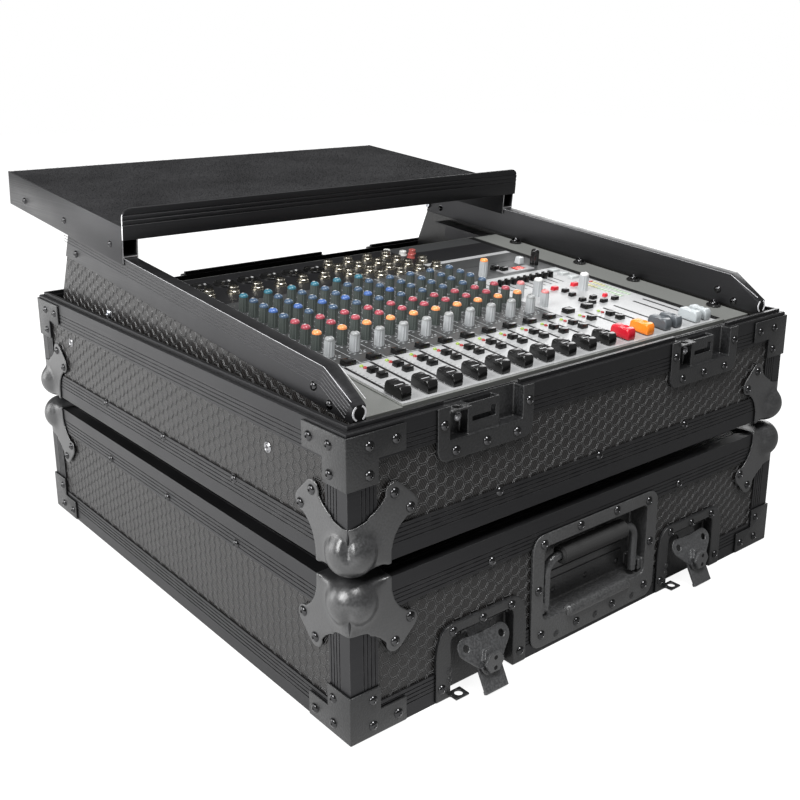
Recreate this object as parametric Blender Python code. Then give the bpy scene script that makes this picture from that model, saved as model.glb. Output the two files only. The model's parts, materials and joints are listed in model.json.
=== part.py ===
"""Slant mixer flight case, modelled as separate pieces at real size.

The lid stands on its open rim and the tray stands on the lid, ball corner on
ball corner. The tray holds the sloping rack, the rack mixer and the laptop
shelf, which slides along the slope. X runs along the front, Y from the front
to the back and Z is up. Case heights and insets are measured from the outer
faces of the edge extrusions, and the whole model is centred at the end.
"""

import math

import bmesh
import bpy
from mathutils import Matrix, Vector

MM = 0.001

# Case
CASE_DEPTH = 555 * MM
LID_HEIGHT = 126 * MM
TRAY_HEIGHT = 106.6 * MM
STACK_GAP = 13.4 * MM
GAP = 0.3 * MM
PLY = 9 * MM
LEG_THICKNESS = 1.5 * MM
EDGE_LEG = 26 * MM
RIM_LEG = 26 * MM
RIM_WEB = 5 * MM
RIM_INNER_LEG = 15 * MM
TONGUE_WIDTH = 3 * MM
TONGUE_HEIGHT = 3.1 * MM
TONGUE_INSET = 4 * MM
GROOVE_DEPTH = 0.5 * MM
GROOVE_WIDTH = 1.1 * MM
GROOVE_INSETS = (12 * MM, 15.5 * MM, 19 * MM, 22.5 * MM)
PANEL_CORNER_CHAMFER = 9 * MM
PLATE_THICKNESS = 1.5 * MM

# Ball corners and corner braces
BALL_RADIUS = 19.5 * MM
BALL_SIDE_INSET = 9.4 * MM
BALL_TIP_CHAMFER = 9 * MM
WING_TIP_CUT = 15 * MM
WING_ROOT = 38 * MM
LOBE_RADIUS = 8.5 * MM
LOBE_CENTRES = ((41 * MM, 53 * MM), (54.5 * MM, 40 * MM))
BRACE_LENGTH = 52 * MM
BRACE_BAND = 20.5 * MM
BRACE_LEG = 27 * MM
BRACE_HEIGHT = 40 * MM
LID_BRACE_LIFT = 0.8 * MM
TRAY_BRACE_DROP = 3 * MM

# Butterfly latches and their catch plates
LATCH_TO_HANDLE = 6 * MM
DISH_HALF_WIDTH = 50 * MM
DISH_TOP = 65 * MM
DISH_ROUNDING = (17 * MM, 32 * MM)
DISH_LIFT = 0.8 * MM
DISH_SIDE_FLANGE = 15.2 * MM
DISH_TOP_FLANGE = 8.7 * MM
POCKET_DEPTH = 9 * MM
POCKET_CORNER = 8 * MM
PAN_WALL = 1.5 * MM
PIVOT_BELOW_POCKET_TOP = 7.3 * MM
LATCH_PIN_RADIUS = 1.0 * MM
BARREL_RADIUS = 1.9 * MM
HOOK_HALF_WIDTH = 12.5 * MM
HOOK_LENGTH = 54 * MM
HOOK_THICKNESS = 2.6 * MM
HOOK_OFFSET = 1.7 * MM
HOOK_LIP = 3 * MM
HOOK_FLOOR_GAP = 0.5 * MM
WING_CENTRE_DROP = 27.6 * MM
WING_THICKNESS = 1.8 * MM
WING_LOBE = (19.5 * MM, 13.8 * MM)
WING_LOBE_RADIUS = 8.6 * MM
WING_FOOT_RADIUS = 12 * MM
WING_DIP = 21 * MM
WING_HOLE_RADIUS = 3.2 * MM
BOSS_RADIUS = 8.5 * MM
BOSS_HEIGHT = 4 * MM
STUB_RADIUS = 3.0 * MM
CATCH_HALF_WIDTH = 50 * MM
CATCH_HEIGHT = 43 * MM
CATCH_CORNER = 9 * MM
CATCH_TOP_GAP = 0.3 * MM
CATCH_SIDE_FLANGE = 12 * MM
CATCH_POCKET_DROP = 27 * MM
STRIKE_SPAN = (-19 * MM, 14 * MM)
STRIKE_HEIGHT = 24 * MM
EYE_HOLE_RADIUS = 3.5 * MM

# Spring handle
HANDLE_HALF_WIDTH = 82 * MM
HANDLE_BOTTOM = 4.5 * MM
HANDLE_HEIGHT = 105.5 * MM
HANDLE_CORNER = 12 * MM
HANDLE_SIDE_FLANGE = 14 * MM
HANDLE_FOOT_FLANGE = 24.5 * MM
HANDLE_TOP_FLANGE = 12 * MM
HANDLE_POCKET_DEPTH = 18 * MM
BAIL_SIDE_ROOM = 10 * MM
BAIL_ROD_RADIUS = 4 * MM
BAIL_BEND = 12 * MM
BAIL_PIVOT_LIFT = 9 * MM
BAIL_PIVOT_Y = 5.5 * MM
BAIL_PIN_RADIUS = 2.5 * MM
GRIP_RADIUS = 8.5 * MM
GRIP_TOP_ROOM = 9.5 * MM
GRIP_END_ROOM = 3 * MM

# Sloping rack, with its rises above the tray's top and its rear insets from the back face
SLOPE = math.radians(5.5)
RACK_WIDTH = 482.6 * MM
RACK_SIDE_ROOM = 0.7 * MM
TRIM_TO_RIM = 2.9 * MM
TRIM_WIDTH = 12.5 * MM
TRIM_WALL = 1.5 * MM
TRIM_LEG = 32 * MM
NOSE_TO_RIM = 0.8 * MM
NOSE_RISE = 11.7 * MM
BEND_RUN = 32.6 * MM
BEND_RISE = 34.3 * MM
RACK_TOP_INSET = 60 * MM
RACK_REAR_INSET = 27 * MM
RACK_REAR_RISE = 8 * MM
RACK_REAR_DROP = 30 * MM
RACK_FOOT_INSET = 21 * MM
EAR_DROP = 34 * MM
EAR_THICKNESS = 2 * MM
RAIL_FLANGE = 20 * MM
RAIL_WEB_HEIGHT = 22 * MM
RAIL_THICKNESS = 2 * MM
RAIL_TO_RIM = 9.4 * MM
RAIL_END_INSET = 85 * MM

# Laptop shelf
SHELF_FRONT_INSET = 189 * MM
SHELF_LENGTH = 290 * MM
SHELF_BOARD_LIFT = 20 * MM
SHELF_BOARD_THICKNESS = 10 * MM
SHELF_RAIL_DROP = 6.5 * MM
SHELF_RAIL_RISE = 30.5 * MM
SHELF_RAIL_WALL = 1.7 * MM
SHELF_RAIL_FLANGE = 12 * MM
LIP_BOTTOM = 17.5 * MM
LIP_TOP = 47.5 * MM
LIP_THICKNESS = 2.5 * MM
LIP_CORNER = 8 * MM
LIP_GROOVES = (14 * MM, 18.5 * MM, 23 * MM)

# Rack mixer
MIXER_EAR_WIDTH = 40.3 * MM
MIXER_LENGTH = 356 * MM
MIXER_TO_RIM = 10.4 * MM
MIXER_BODY_DEPTH = 60 * MM
MIXER_NOSE_RUN = 60 * MM
MIXER_NOSE_RISE = 20 * MM
MIXER_PANEL_RISE = 1 * MM
MIXER_WALL = 3.5 * MM
RACK_HOLE_INSET = 8.75 * MM
RACK_HOLES = (34 * MM, 135.6 * MM, 211.8 * MM, 313.4 * MM)
RACK_HOLE_RADIUS = 3.4 * MM

# Case sizes that follow from the ones above
PANEL_INSET = LEG_THICKNESS + GAP
WALL_INNER = PANEL_INSET + PLY
RIM_INNER_INSET = WALL_INNER + GAP
RIM_WIDTH = RIM_INNER_INSET + LEG_THICKNESS
TRIM_INSET = RIM_WIDTH + TRIM_TO_RIM
TRIM_INNER = TRIM_INSET + TRIM_WIDTH
CASE_WIDTH = RACK_WIDTH + 2 * (TRIM_INNER + RACK_SIDE_ROOM)
HALF_WIDTH = CASE_WIDTH / 2
TRAY_BOTTOM = LID_HEIGHT + STACK_GAP
TRAY_TOP = TRAY_BOTTOM + TRAY_HEIGHT
BALL_INSET = BALL_RADIUS - (STACK_GAP - GAP) / 2

# Latch, catch and handle sizes that follow
LATCH_OFFSET = HANDLE_HALF_WIDTH + LATCH_TO_HANDLE + DISH_HALF_WIDTH
LATCH_CENTRES = (-LATCH_OFFSET, LATCH_OFFSET)
POCKET_HALF_WIDTH = DISH_HALF_WIDTH - DISH_SIDE_FLANGE
POCKET_TOP = DISH_TOP - DISH_TOP_FLANGE
PAN_DEPTH = POCKET_DEPTH + PAN_WALL
NOTCH_DEPTH = max(WALL_INNER + 0.05 * MM, PAN_DEPTH + GAP)
LATCH_PIVOT_Z = POCKET_TOP - PIVOT_BELOW_POCKET_TOP
LATCH_PIVOT_Y = POCKET_DEPTH - BARREL_RADIUS - GAP
HOOK_FRONT_Y = LATCH_PIVOT_Y - HOOK_OFFSET
HOOK_REACH = math.hypot(HOOK_LENGTH, HOOK_OFFSET)
HOOK_LEAN = math.atan2(HOOK_OFFSET, HOOK_LENGTH)
HOOK_HANG = math.acos(min(1.0, (LATCH_PIVOT_Z - HOOK_FLOOR_GAP) / HOOK_REACH))
LATCH_REST_ANGLE = HOOK_HANG + HOOK_LEAN
CATCH_TOP = TRAY_TOP - CATCH_TOP_GAP
CATCH_POCKET_HALF = CATCH_HALF_WIDTH - CATCH_SIDE_FLANGE
CATCH_POCKET_LOW = TRAY_TOP - CATCH_POCKET_DROP
HANDLE_TOP = HANDLE_BOTTOM + HANDLE_HEIGHT
HANDLE_POCKET_HALF = HANDLE_HALF_WIDTH - HANDLE_SIDE_FLANGE
HANDLE_POCKET_BOTTOM = HANDLE_BOTTOM + HANDLE_FOOT_FLANGE
HANDLE_POCKET_TOP = HANDLE_TOP - HANDLE_TOP_FLANGE
BAIL_HALF_SPAN = HANDLE_POCKET_HALF - BAIL_SIDE_ROOM
BAIL_PIVOT_Z = HANDLE_POCKET_BOTTOM + BAIL_PIVOT_LIFT
BAIL_REACH = HANDLE_POCKET_TOP - GRIP_TOP_ROOM - GRIP_RADIUS - BAIL_PIVOT_Z
GRIP_HALF_LENGTH = BAIL_HALF_SPAN - BAIL_BEND - GRIP_END_ROOM

# Rack, shelf and mixer sizes that follow
NOSE_Y = RIM_WIDTH + NOSE_TO_RIM
NOSE_Z = TRAY_TOP + NOSE_RISE
BEND_Y = NOSE_Y + BEND_RUN
BEND_Z = TRAY_TOP + BEND_RISE
RACK_TOP_Y = CASE_DEPTH - RACK_TOP_INSET
RACK_REAR_Y = CASE_DEPTH - RACK_REAR_INSET
RACK_REAR_Z = TRAY_TOP + RACK_REAR_RISE
RACK_FOOT_Y = CASE_DEPTH - RACK_FOOT_INSET
RAIL_FRONT_Y = RIM_WIDTH + RAIL_TO_RIM
RAIL_LENGTH = (CASE_DEPTH - RAIL_END_INSET - RAIL_FRONT_Y) / math.cos(SLOPE)
SHELF_FRONT_Y = CASE_DEPTH - SHELF_FRONT_INSET
MIXER_FRONT_Y = RIM_WIDTH + MIXER_TO_RIM
MIXER_HALF = RACK_WIDTH / 2 - MIXER_EAR_WIDTH
RACK_HOLE_X = RACK_WIDTH / 2 - RACK_HOLE_INSET
SLOPE_UP = Vector((0.0, -math.sin(SLOPE), math.cos(SLOPE)))
SLOPE_ALONG = Vector((0.0, math.cos(SLOPE), math.sin(SLOPE)))
BEND = Vector((0.0, BEND_Y, BEND_Z))

STEEL_BLACK = ("black_steel", (0.028, 0.028, 0.030), 0.42, 0.6)
ALUMINIUM_BLACK = ("black_aluminium", (0.045, 0.045, 0.048), 0.38, 0.8)
LAMINATE = ("black_laminate", (0.030, 0.029, 0.029), 0.55, 0.0)
RUBBER = ("rubber", (0.02, 0.02, 0.02), 0.8, 0.0)
CARPET = ("carpet", (0.035, 0.035, 0.036), 0.95, 0.0)
MIXER_PAINT = ("mixer_paint", (0.12, 0.125, 0.125), 0.45, 0.3)


def clear_scene():
    """Remove every object that the file holds."""
    for obj in list(bpy.data.objects):
        bpy.data.objects.remove(obj, do_unlink=True)


def make_material(node, finish):
    """Return the piece's own Principled material.

    Args:
        node: name of the piece.
        finish: name, colour, roughness and metallic value.
    """
    kind, colour, roughness, metallic = finish
    material = bpy.data.materials.new(node + "_" + kind)
    material.use_nodes = True
    shader = material.node_tree.nodes["Principled BSDF"]
    shader.inputs["Base Color"].default_value = (*colour, 1.0)
    shader.inputs["Roughness"].default_value = roughness
    shader.inputs["Metallic"].default_value = metallic
    return material


def new_object(name, bm):
    """Turn a bmesh into a linked object with outward faces."""
    bmesh.ops.recalc_face_normals(bm, faces=bm.faces)
    mesh = bpy.data.meshes.new(name)
    bm.to_mesh(mesh)
    bm.free()
    obj = bpy.data.objects.new(name, mesh)
    bpy.context.scene.collection.objects.link(obj)
    return obj


def box(name, low, high):
    """Return a box between two opposite corners."""
    bm = bmesh.new()
    bmesh.ops.create_cube(bm, size=1.0)
    low = Vector(low)
    high = Vector(high)
    for vert in bm.verts:
        vert.co = Vector([low[i] + (vert.co[i] + 0.5) * (high[i] - low[i]) for i in range(3)])
    return new_object(name, bm)


def prism(name, outline, axis, low, high):
    """Extrude a flat outline along a world axis.

    Args:
        name: object name.
        outline: 2-D points, in (y, z), (x, z) or (x, y) for axis X, Y or Z.
        axis: "X", "Y" or "Z".
        low: where the extrusion starts on the axis.
        high: where it ends.
    """
    def place(point, depth):
        if axis == "X":
            return Vector((depth, point[0], point[1]))
        if axis == "Y":
            return Vector((point[0], depth, point[1]))
        return Vector((point[0], point[1], depth))

    bm = bmesh.new()
    bottom = [bm.verts.new(place(point, low)) for point in outline]
    top = [bm.verts.new(place(point, high)) for point in outline]
    bm.faces.new(bottom)
    bm.faces.new(list(reversed(top)))
    count = len(outline)
    for i in range(count):
        j = (i + 1) % count
        bm.faces.new((bottom[j], bottom[i], top[i], top[j]))
    return new_object(name, bm)


def rectangular_ring(name, profile):
    """Sweep a profile around the case's outline with mitred corners.

    Args:
        name: object name.
        profile: closed list of (inset from the outer faces, height).
    """
    bm = bmesh.new()
    loops = []
    for sx, back in ((-1, 0), (1, 0), (1, 1), (-1, 1)):
        loop = []
        for inset, z in profile:
            y = CASE_DEPTH - inset if back else inset
            loop.append(bm.verts.new((sx * (HALF_WIDTH - inset), y, z)))
        loops.append(loop)
    count = len(profile)
    for i in range(4):
        here = loops[i]
        following = loops[(i + 1) % 4]
        for k in range(count):
            m = (k + 1) % count
            bm.faces.new((here[k], here[m], following[m], following[k]))
    return new_object(name, bm)


def cylinder(name, start, end, radius, sides=16):
    """Return a closed cylinder between two points."""
    start = Vector(start)
    end = Vector(end)
    axis = end - start
    bm = bmesh.new()
    bmesh.ops.create_cone(
        bm, cap_ends=True, segments=sides, radius1=radius, radius2=radius, depth=axis.length)
    turn = axis.to_track_quat("Z", "Y").to_matrix().to_4x4()
    bmesh.ops.transform(bm, verts=bm.verts, matrix=Matrix.Translation((start + end) / 2) @ turn)
    return new_object(name, bm)


def hull(name, points):
    """Return the convex hull of some points."""
    bm = bmesh.new()
    for point in points:
        bm.verts.new(point)
    bmesh.ops.convex_hull(bm, input=bm.verts)
    return new_object(name, bm)


def boolean(target, tools, operation):
    """Apply booleans to a target and remove the tool objects."""
    for tool in tools:
        modifier = target.modifiers.new(operation.lower(), "BOOLEAN")
        modifier.operation = operation
        modifier.solver = "EXACT"
        modifier.object = tool
    depsgraph = bpy.context.evaluated_depsgraph_get()
    depsgraph.update()
    mesh = bpy.data.meshes.new_from_object(target.evaluated_get(depsgraph))
    target.modifiers.clear()
    target.data = mesh
    for tool in tools:
        bpy.data.objects.remove(tool, do_unlink=True)
    return target


def join(target, *tools):
    """Union solids into the target."""
    return boolean(target, tools, "UNION")


def cut(target, *tools):
    """Take solids out of the target."""
    return boolean(target, tools, "DIFFERENCE")


def arc(centre, radius, start, end, steps):
    """Return points along an arc, with angles in degrees."""
    points = []
    for i in range(steps + 1):
        angle = math.radians(start + (end - start) * i / steps)
        points.append((centre[0] + radius * math.cos(angle), centre[1] + radius * math.sin(angle)))
    return points


def bend_curve(start, control, end, steps):
    """Return the inner points of a quadratic curve, ends left out."""
    points = []
    for i in range(1, steps):
        t = i / steps
        a = (1 - t) ** 2
        b = 2 * (1 - t) * t
        c = t * t
        points.append((
            a * start[0] + b * control[0] + c * end[0],
            a * start[1] + b * control[1] + c * end[1]))
    return points


def rounded_rectangle(low, high, radius, steps=4):
    """Return a rectangle's outline with four round corners."""
    points = arc((high[0] - radius, low[1] + radius), radius, -90, 0, steps)
    points += arc((high[0] - radius, high[1] - radius), radius, 0, 90, steps)
    points += arc((low[0] + radius, high[1] - radius), radius, 90, 180, steps)
    points += arc((low[0] + radius, low[1] + radius), radius, 180, 270, steps)
    return points


def finish(obj, look, smooth_angle=35):
    """Give a piece its material and shading."""
    obj.data.materials.clear()
    obj.data.materials.append(make_material(obj.name, look))
    obj.data.shade_smooth()
    obj.data.set_sharp_from_angle(angle=math.radians(smooth_angle))
    return obj


def side_notches(edge, inward):
    """Return the groove points of a side leg, from its foot to its edge.

    Args:
        edge: height of the leg's edge.
        inward: -1 when the leg hangs down from it, +1 when it rises.
    """
    points = []
    for inset in reversed(GROOVE_INSETS):
        near = edge + inward * inset
        far = edge + inward * (inset + GROOVE_WIDTH)
        points += [(0.0, far), (GROOVE_DEPTH, far), (GROOVE_DEPTH, near), (0.0, near)]
    return points


def edge_profile(edge, inward):
    """Return the ridged angle profile of a closed edge.

    Args:
        edge: height of the outer horizontal face.
        inward: -1 when the side leg hangs down from it, +1 when it rises.
    """
    notches = side_notches(edge, inward)
    top = []
    for inset in GROOVE_INSETS:
        deep = edge + inward * GROOVE_DEPTH
        top += [(inset, edge), (inset, deep), (inset + GROOVE_WIDTH, deep)]
        top += [(inset + GROOVE_WIDTH, edge)]
    web = edge + inward * LEG_THICKNESS
    foot = edge + inward * EDGE_LEG
    return ([(LEG_THICKNESS, foot), (0.0, foot)] + notches + [(0.0, edge)] + top
            + [(EDGE_LEG, edge), (EDGE_LEG, web), (LEG_THICKNESS, web)])


def corner_post(name, sx, back, low, high):
    """Return one upright ridged angle at a case corner."""
    leg = []
    for inset in GROOVE_INSETS:
        leg += [(inset, 0.0), (inset, GROOVE_DEPTH)]
        leg += [(inset + GROOVE_WIDTH, GROOVE_DEPTH), (inset + GROOVE_WIDTH, 0.0)]
    outline = [(0.0, 0.0)] + leg + [(EDGE_LEG, 0.0), (EDGE_LEG, LEG_THICKNESS)]
    outline += [(LEG_THICKNESS, LEG_THICKNESS), (LEG_THICKNESS, EDGE_LEG), (0.0, EDGE_LEG)]
    outline += [(v, u) for u, v in reversed(leg)]
    placed = []
    for u, v in outline:
        y = CASE_DEPTH - v if back else v
        placed.append((sx * (HALF_WIDTH - u), y))
    return prism(name, placed, "Z", low, high)


def corner_point(sx, back, edge, inward, u, v, w):
    """Place insets from a corner's three outer planes in the case."""
    y = CASE_DEPTH - v if back else v
    return Vector((sx * (HALF_WIDTH - u), y, edge + inward * w))


CORNERS = (("fl", -1, 0), ("fr", 1, 0), ("bl", -1, 1), ("br", 1, 1))


def tip_cutter(sx, back, edge, inward):
    """Return the small corner wedge that the ball corner replaces."""
    low = -5 * MM
    far = BALL_TIP_CHAMFER - 2 * low
    spots = ((low, low, low), (far, low, low), (low, far, low), (low, low, far))
    return hull("tip", [corner_point(sx, back, edge, inward, *spot) for spot in spots])


def edge_frame(name, edge, inward, post_end):
    """Build the closed edge's angles and the four uprights."""
    frame = rectangular_ring(name, edge_profile(edge, inward))
    start = edge + inward * EDGE_LEG * 0.97
    posts = []
    for tag, sx, back in CORNERS:
        low, high = sorted((start, post_end))
        posts.append(corner_post("post_" + tag, sx, back, low, high))
    join(frame, *posts)
    cut(frame, *[tip_cutter(sx, back, edge, inward) for tag, sx, back in CORNERS])
    return frame


def latch_notches(low, high, half_width):
    """Return the boxes cut out of a rim where the latches pass it."""
    boxes = []
    for centre in LATCH_CENTRES:
        for near, far in ((-1 * MM, NOTCH_DEPTH),
                          (CASE_DEPTH - NOTCH_DEPTH, CASE_DEPTH + 1 * MM)):
            boxes.append(box("notch", (centre - half_width, near, low),
                             (centre + half_width, far, high)))
    return boxes


def build_frames():
    """Build the four edge and rim frames."""
    uprights_low = RIM_LEG + GAP
    lid_edge = edge_frame("lid_edge_frame", LID_HEIGHT, -1, uprights_low)
    notches = side_notches(0.0, 1)
    profile = [(0.0, 0.0), (TONGUE_INSET - 2 * GAP, 0.0)]
    groove_far = TONGUE_INSET + TONGUE_WIDTH + 2 * GAP
    profile += [(TONGUE_INSET - 2 * GAP, TONGUE_HEIGHT + GAP), (groove_far, TONGUE_HEIGHT + GAP)]
    profile += [(groove_far, 0.0), (RIM_WIDTH, 0.0), (RIM_WIDTH, RIM_INNER_LEG)]
    profile += [(RIM_INNER_INSET, RIM_INNER_LEG), (RIM_INNER_INSET, RIM_WEB)]
    profile += [(LEG_THICKNESS, RIM_WEB), (LEG_THICKNESS, RIM_LEG), (0.0, RIM_LEG)]
    lid_rim = rectangular_ring("lid_rim_frame", profile + notches)
    cut(lid_rim, *latch_notches(-1 * MM, RIM_LEG + 1 * MM, POCKET_HALF_WIDTH + PAN_WALL + GAP))

    rim_foot = TRAY_TOP - RIM_LEG
    tray_edge = edge_frame("tray_edge_frame", TRAY_BOTTOM, 1, rim_foot - GAP)
    notches = side_notches(TRAY_TOP, -1)
    tongue_far = TONGUE_INSET + TONGUE_WIDTH
    profile = [(0.0, rim_foot)] + notches + [(0.0, TRAY_TOP - 0.8 * MM), (0.8 * MM, TRAY_TOP)]
    profile += [(TONGUE_INSET, TRAY_TOP), (TONGUE_INSET, TRAY_TOP + TONGUE_HEIGHT)]
    profile += [(tongue_far, TRAY_TOP + TONGUE_HEIGHT), (tongue_far, TRAY_TOP)]
    profile += [(RIM_WIDTH, TRAY_TOP), (RIM_WIDTH, TRAY_TOP - RIM_INNER_LEG)]
    profile += [(RIM_INNER_INSET, TRAY_TOP - RIM_INNER_LEG), (RIM_INNER_INSET, TRAY_TOP - RIM_WEB)]
    profile += [(LEG_THICKNESS, TRAY_TOP - RIM_WEB), (LEG_THICKNESS, rim_foot)]
    tray_rim = rectangular_ring("tray_rim_frame", profile)
    catch_low = CATCH_POCKET_LOW - PAN_WALL - GAP
    cut(tray_rim, *latch_notches(catch_low, TRAY_TOP + 5 * MM,
                                 CATCH_POCKET_HALF + PAN_WALL + GAP))
    for frame in (lid_edge, lid_rim, tray_edge, tray_rim):
        finish(frame, ALUMINIUM_BLACK, 25)


def chamfered_board(name, low, high):
    """Return a horizontal board whose corners clear the ball corners."""
    x = HALF_WIDTH - PANEL_INSET
    near = PANEL_INSET
    far = CASE_DEPTH - PANEL_INSET
    c = PANEL_CORNER_CHAMFER
    outline = [(-x + c, near), (x - c, near), (x, near + c), (x, far - c)]
    outline += [(x - c, far), (-x + c, far), (-x, far - c), (-x, near + c)]
    return prism(name, outline, "Z", low, high)


def wall_boards(prefix, low, high, openings):
    """Build four wall boards of a box.

    Args:
        prefix: "lid" or "tray".
        low: lower edge of the boards.
        high: upper edge of the boards.
        openings: for "front" and "back", lists of (x0, x1, z0, z1) cut through.
    """
    x = HALF_WIDTH - PANEL_INSET
    inner = WALL_INNER + GAP
    spans = {"front": (PANEL_INSET, WALL_INNER),
             "back": (CASE_DEPTH - WALL_INNER, CASE_DEPTH - PANEL_INSET)}
    for side, (near, far) in spans.items():
        board = box(prefix + "_" + side + "_panel", (-x, near, low), (x, far, high))
        tools = []
        for x0, x1, z0, z1 in openings[side]:
            tools.append(box("opening", (x0, near - 1 * MM, z0), (x1, far + 1 * MM, z1)))
        finish(cut(board, *tools), LAMINATE)
    for side, sx in (("left", -1), ("right", 1)):
        x0, x1 = sorted((sx * (HALF_WIDTH - PANEL_INSET), sx * (HALF_WIDTH - WALL_INNER)))
        board = box(prefix + "_" + side + "_panel", (x0, inner, low),
                    (x1, CASE_DEPTH - inner, high))
        finish(board, LAMINATE)


def build_panels():
    """Build the boards of the lid and of the tray."""
    top = chamfered_board("lid_top_panel", LID_HEIGHT - WALL_INNER, LID_HEIGHT - PANEL_INSET)
    finish(top, LAMINATE)
    pan = POCKET_HALF_WIDTH + PAN_WALL + GAP
    latch_holes = [(c - pan, c + pan, -1 * MM, POCKET_TOP + PAN_WALL + GAP) for c in LATCH_CENTRES]
    handle_half = HANDLE_POCKET_HALF + PAN_WALL + GAP
    handle_hole = (-handle_half, handle_half, HANDLE_POCKET_BOTTOM - PAN_WALL - GAP,
                   HANDLE_POCKET_TOP + PAN_WALL + GAP)
    wall_boards("lid", RIM_WEB + GAP, LID_HEIGHT - WALL_INNER - GAP,
                {"front": latch_holes + [handle_hole], "back": latch_holes})

    floor = chamfered_board("tray_floor_panel", TRAY_BOTTOM + PANEL_INSET, TRAY_BOTTOM + WALL_INNER)
    finish(floor, LAMINATE)
    pan = CATCH_POCKET_HALF + PAN_WALL + GAP
    catch_low = CATCH_POCKET_LOW - PAN_WALL - GAP
    catch_holes = [(c - pan, c + pan, catch_low, TRAY_TOP) for c in LATCH_CENTRES]
    wall_boards("tray", TRAY_BOTTOM + WALL_INNER + GAP, TRAY_TOP - RIM_WEB - GAP,
                {"front": catch_holes, "back": catch_holes})


def butterfly_outline():
    """Return one face of the ball corner's plate, as insets (u, w)."""
    (au, aw), (bu, bw) = LOBE_CENTRES
    start = (0.0, WING_ROOT)
    lobe = arc((au, aw), LOBE_RADIUS, 190, 48, 6) + arc((bu, bw), LOBE_RADIUS, 42, -100, 6)
    end = (WING_ROOT, 0.0)
    points = [start]
    points += bend_curve(start, (22 * MM, 37 * MM), lobe[0], 5)
    points += lobe
    points += bend_curve(lobe[-1], (37 * MM, 22 * MM), end, 4)
    points += [end]
    return points


def ball_corner(name, sx, back, edge, inward):
    """Build one ball corner with its three riveted wings."""
    outline = butterfly_outline()
    outer = -GAP - PLATE_THICKNESS
    inner = 8 * MM

    def wing(order):
        bm = bmesh.new()
        rows = []
        for depth in (outer, inner):
            row = []
            for u, w in [(outer, WING_TIP_CUT)] + outline + [(WING_TIP_CUT, outer)]:
                u = outer if u <= 0.0 else u
                w = outer if w <= 0.0 else w
                spot = {"u": u, "w": w, "d": depth}
                place = [spot[key] for key in order]
                row.append(bm.verts.new(corner_point(sx, back, edge, inward, *place)))
            rows.append(row)
        bm.faces.new(rows[0])
        bm.faces.new(list(reversed(rows[1])))
        count = len(rows[0])
        for i in range(count):
            j = (i + 1) % count
            bm.faces.new((rows[0][j], rows[0][i], rows[1][i], rows[1][j]))
        return new_object("wing", bm)

    bm = bmesh.new()
    bmesh.ops.create_uvsphere(bm, u_segments=24, v_segments=14, radius=BALL_RADIUS)
    side = BALL_SIDE_INSET
    centre = corner_point(sx, back, edge, inward, side, side, BALL_INSET)
    turn = Matrix.Rotation(math.radians(22), 4, "X") @ Matrix.Rotation(math.radians(11), 4, "Y")
    bmesh.ops.transform(bm, verts=bm.verts, matrix=Matrix.Translation(centre) @ turn)
    ball = new_object(name, bm)
    join(ball, wing("duw"), wing("udw"), wing("uwd"))
    far = 150 * MM
    g = -GAP
    tip = BALL_TIP_CHAMFER - GAP * 1.8 - 2 * g
    spots = ((tip, g, g), (g, tip, g), (g, g, tip), (far, g, g), (g, far, g), (g, g, far),
             (far, far, g), (far, g, far), (g, far, far), (far, far, far))
    cut(ball, hull("corner_block", [corner_point(sx, back, edge, inward, *s) for s in spots]))
    return finish(ball, STEEL_BLACK, 40)


def corner_brace(name, sx, back, edge, inward):
    """Build one L-shaped brace that wraps an upright edge."""
    outer = -GAP - PLATE_THICKNESS
    outline = [(outer, 0.0), (BRACE_LENGTH, 0.0), (BRACE_LENGTH, BRACE_BAND)]
    outline += [(BRACE_LEG, BRACE_BAND), (BRACE_LEG, BRACE_HEIGHT), (outer, BRACE_HEIGHT)]
    faces = []
    for side in (0, 1):
        placed = []
        depth = []
        for u, w in outline:
            y = CASE_DEPTH - u if back else u
            placed.append((sx * (HALF_WIDTH - u) if side else y, edge + inward * w))
        for inset in (outer, -GAP):
            y = CASE_DEPTH - inset if back else inset
            depth.append(y if side else sx * (HALF_WIDTH - inset))
        faces.append(prism(name if not side else "leg", placed, "Y" if side else "X",
                           min(depth), max(depth)))
    return finish(join(faces[0], faces[1]), STEEL_BLACK)


def build_corners():
    """Build the ball corners and the corner braces."""
    for tag, sx, back in CORNERS:
        ball_corner("lid_ball_corner_" + tag, sx, back, LID_HEIGHT, -1)
        ball_corner("tray_ball_corner_" + tag, sx, back, TRAY_BOTTOM, 1)
        corner_brace("lid_corner_brace_" + tag, sx, back, LID_BRACE_LIFT, 1)
        corner_brace("tray_corner_brace_" + tag, sx, back, TRAY_TOP - TRAY_BRACE_DROP, -1)


def stand(obj, centre, back):
    """Move a piece made at the front, x = 0, to its place front or back."""
    turn = Matrix.Identity(4)
    if back:
        turn = Matrix.Translation((0, CASE_DEPTH, 0)) @ Matrix.Rotation(math.pi, 4, "Z")
    obj.data.transform(Matrix.Translation((centre, 0, 0)) @ turn)
    return obj


def flange(name, outline, board_low, board_high):
    """Return a flange that lies on the extrusions and steps onto the board.

    Args:
        name: object name.
        outline: (x, z) points of the flange.
        board_low: height where the board's bare face starts.
        board_high: height where it ends.
    """
    outer = -GAP - PLATE_THICKNESS
    plate = prism(name, outline, "Y", outer, -GAP)
    backing = prism("backing", outline, "Y", -GAP - 0.4 * MM, PANEL_INSET - GAP)
    wide = 200 * MM
    below = box("below", (-wide, -wide, -wide), (wide, wide, board_low + GAP))
    over = box("over", (-wide, -wide, board_high - GAP), (wide, wide, 3 * wide))
    cut(backing, below, over)
    return join(plate, backing)


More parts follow.
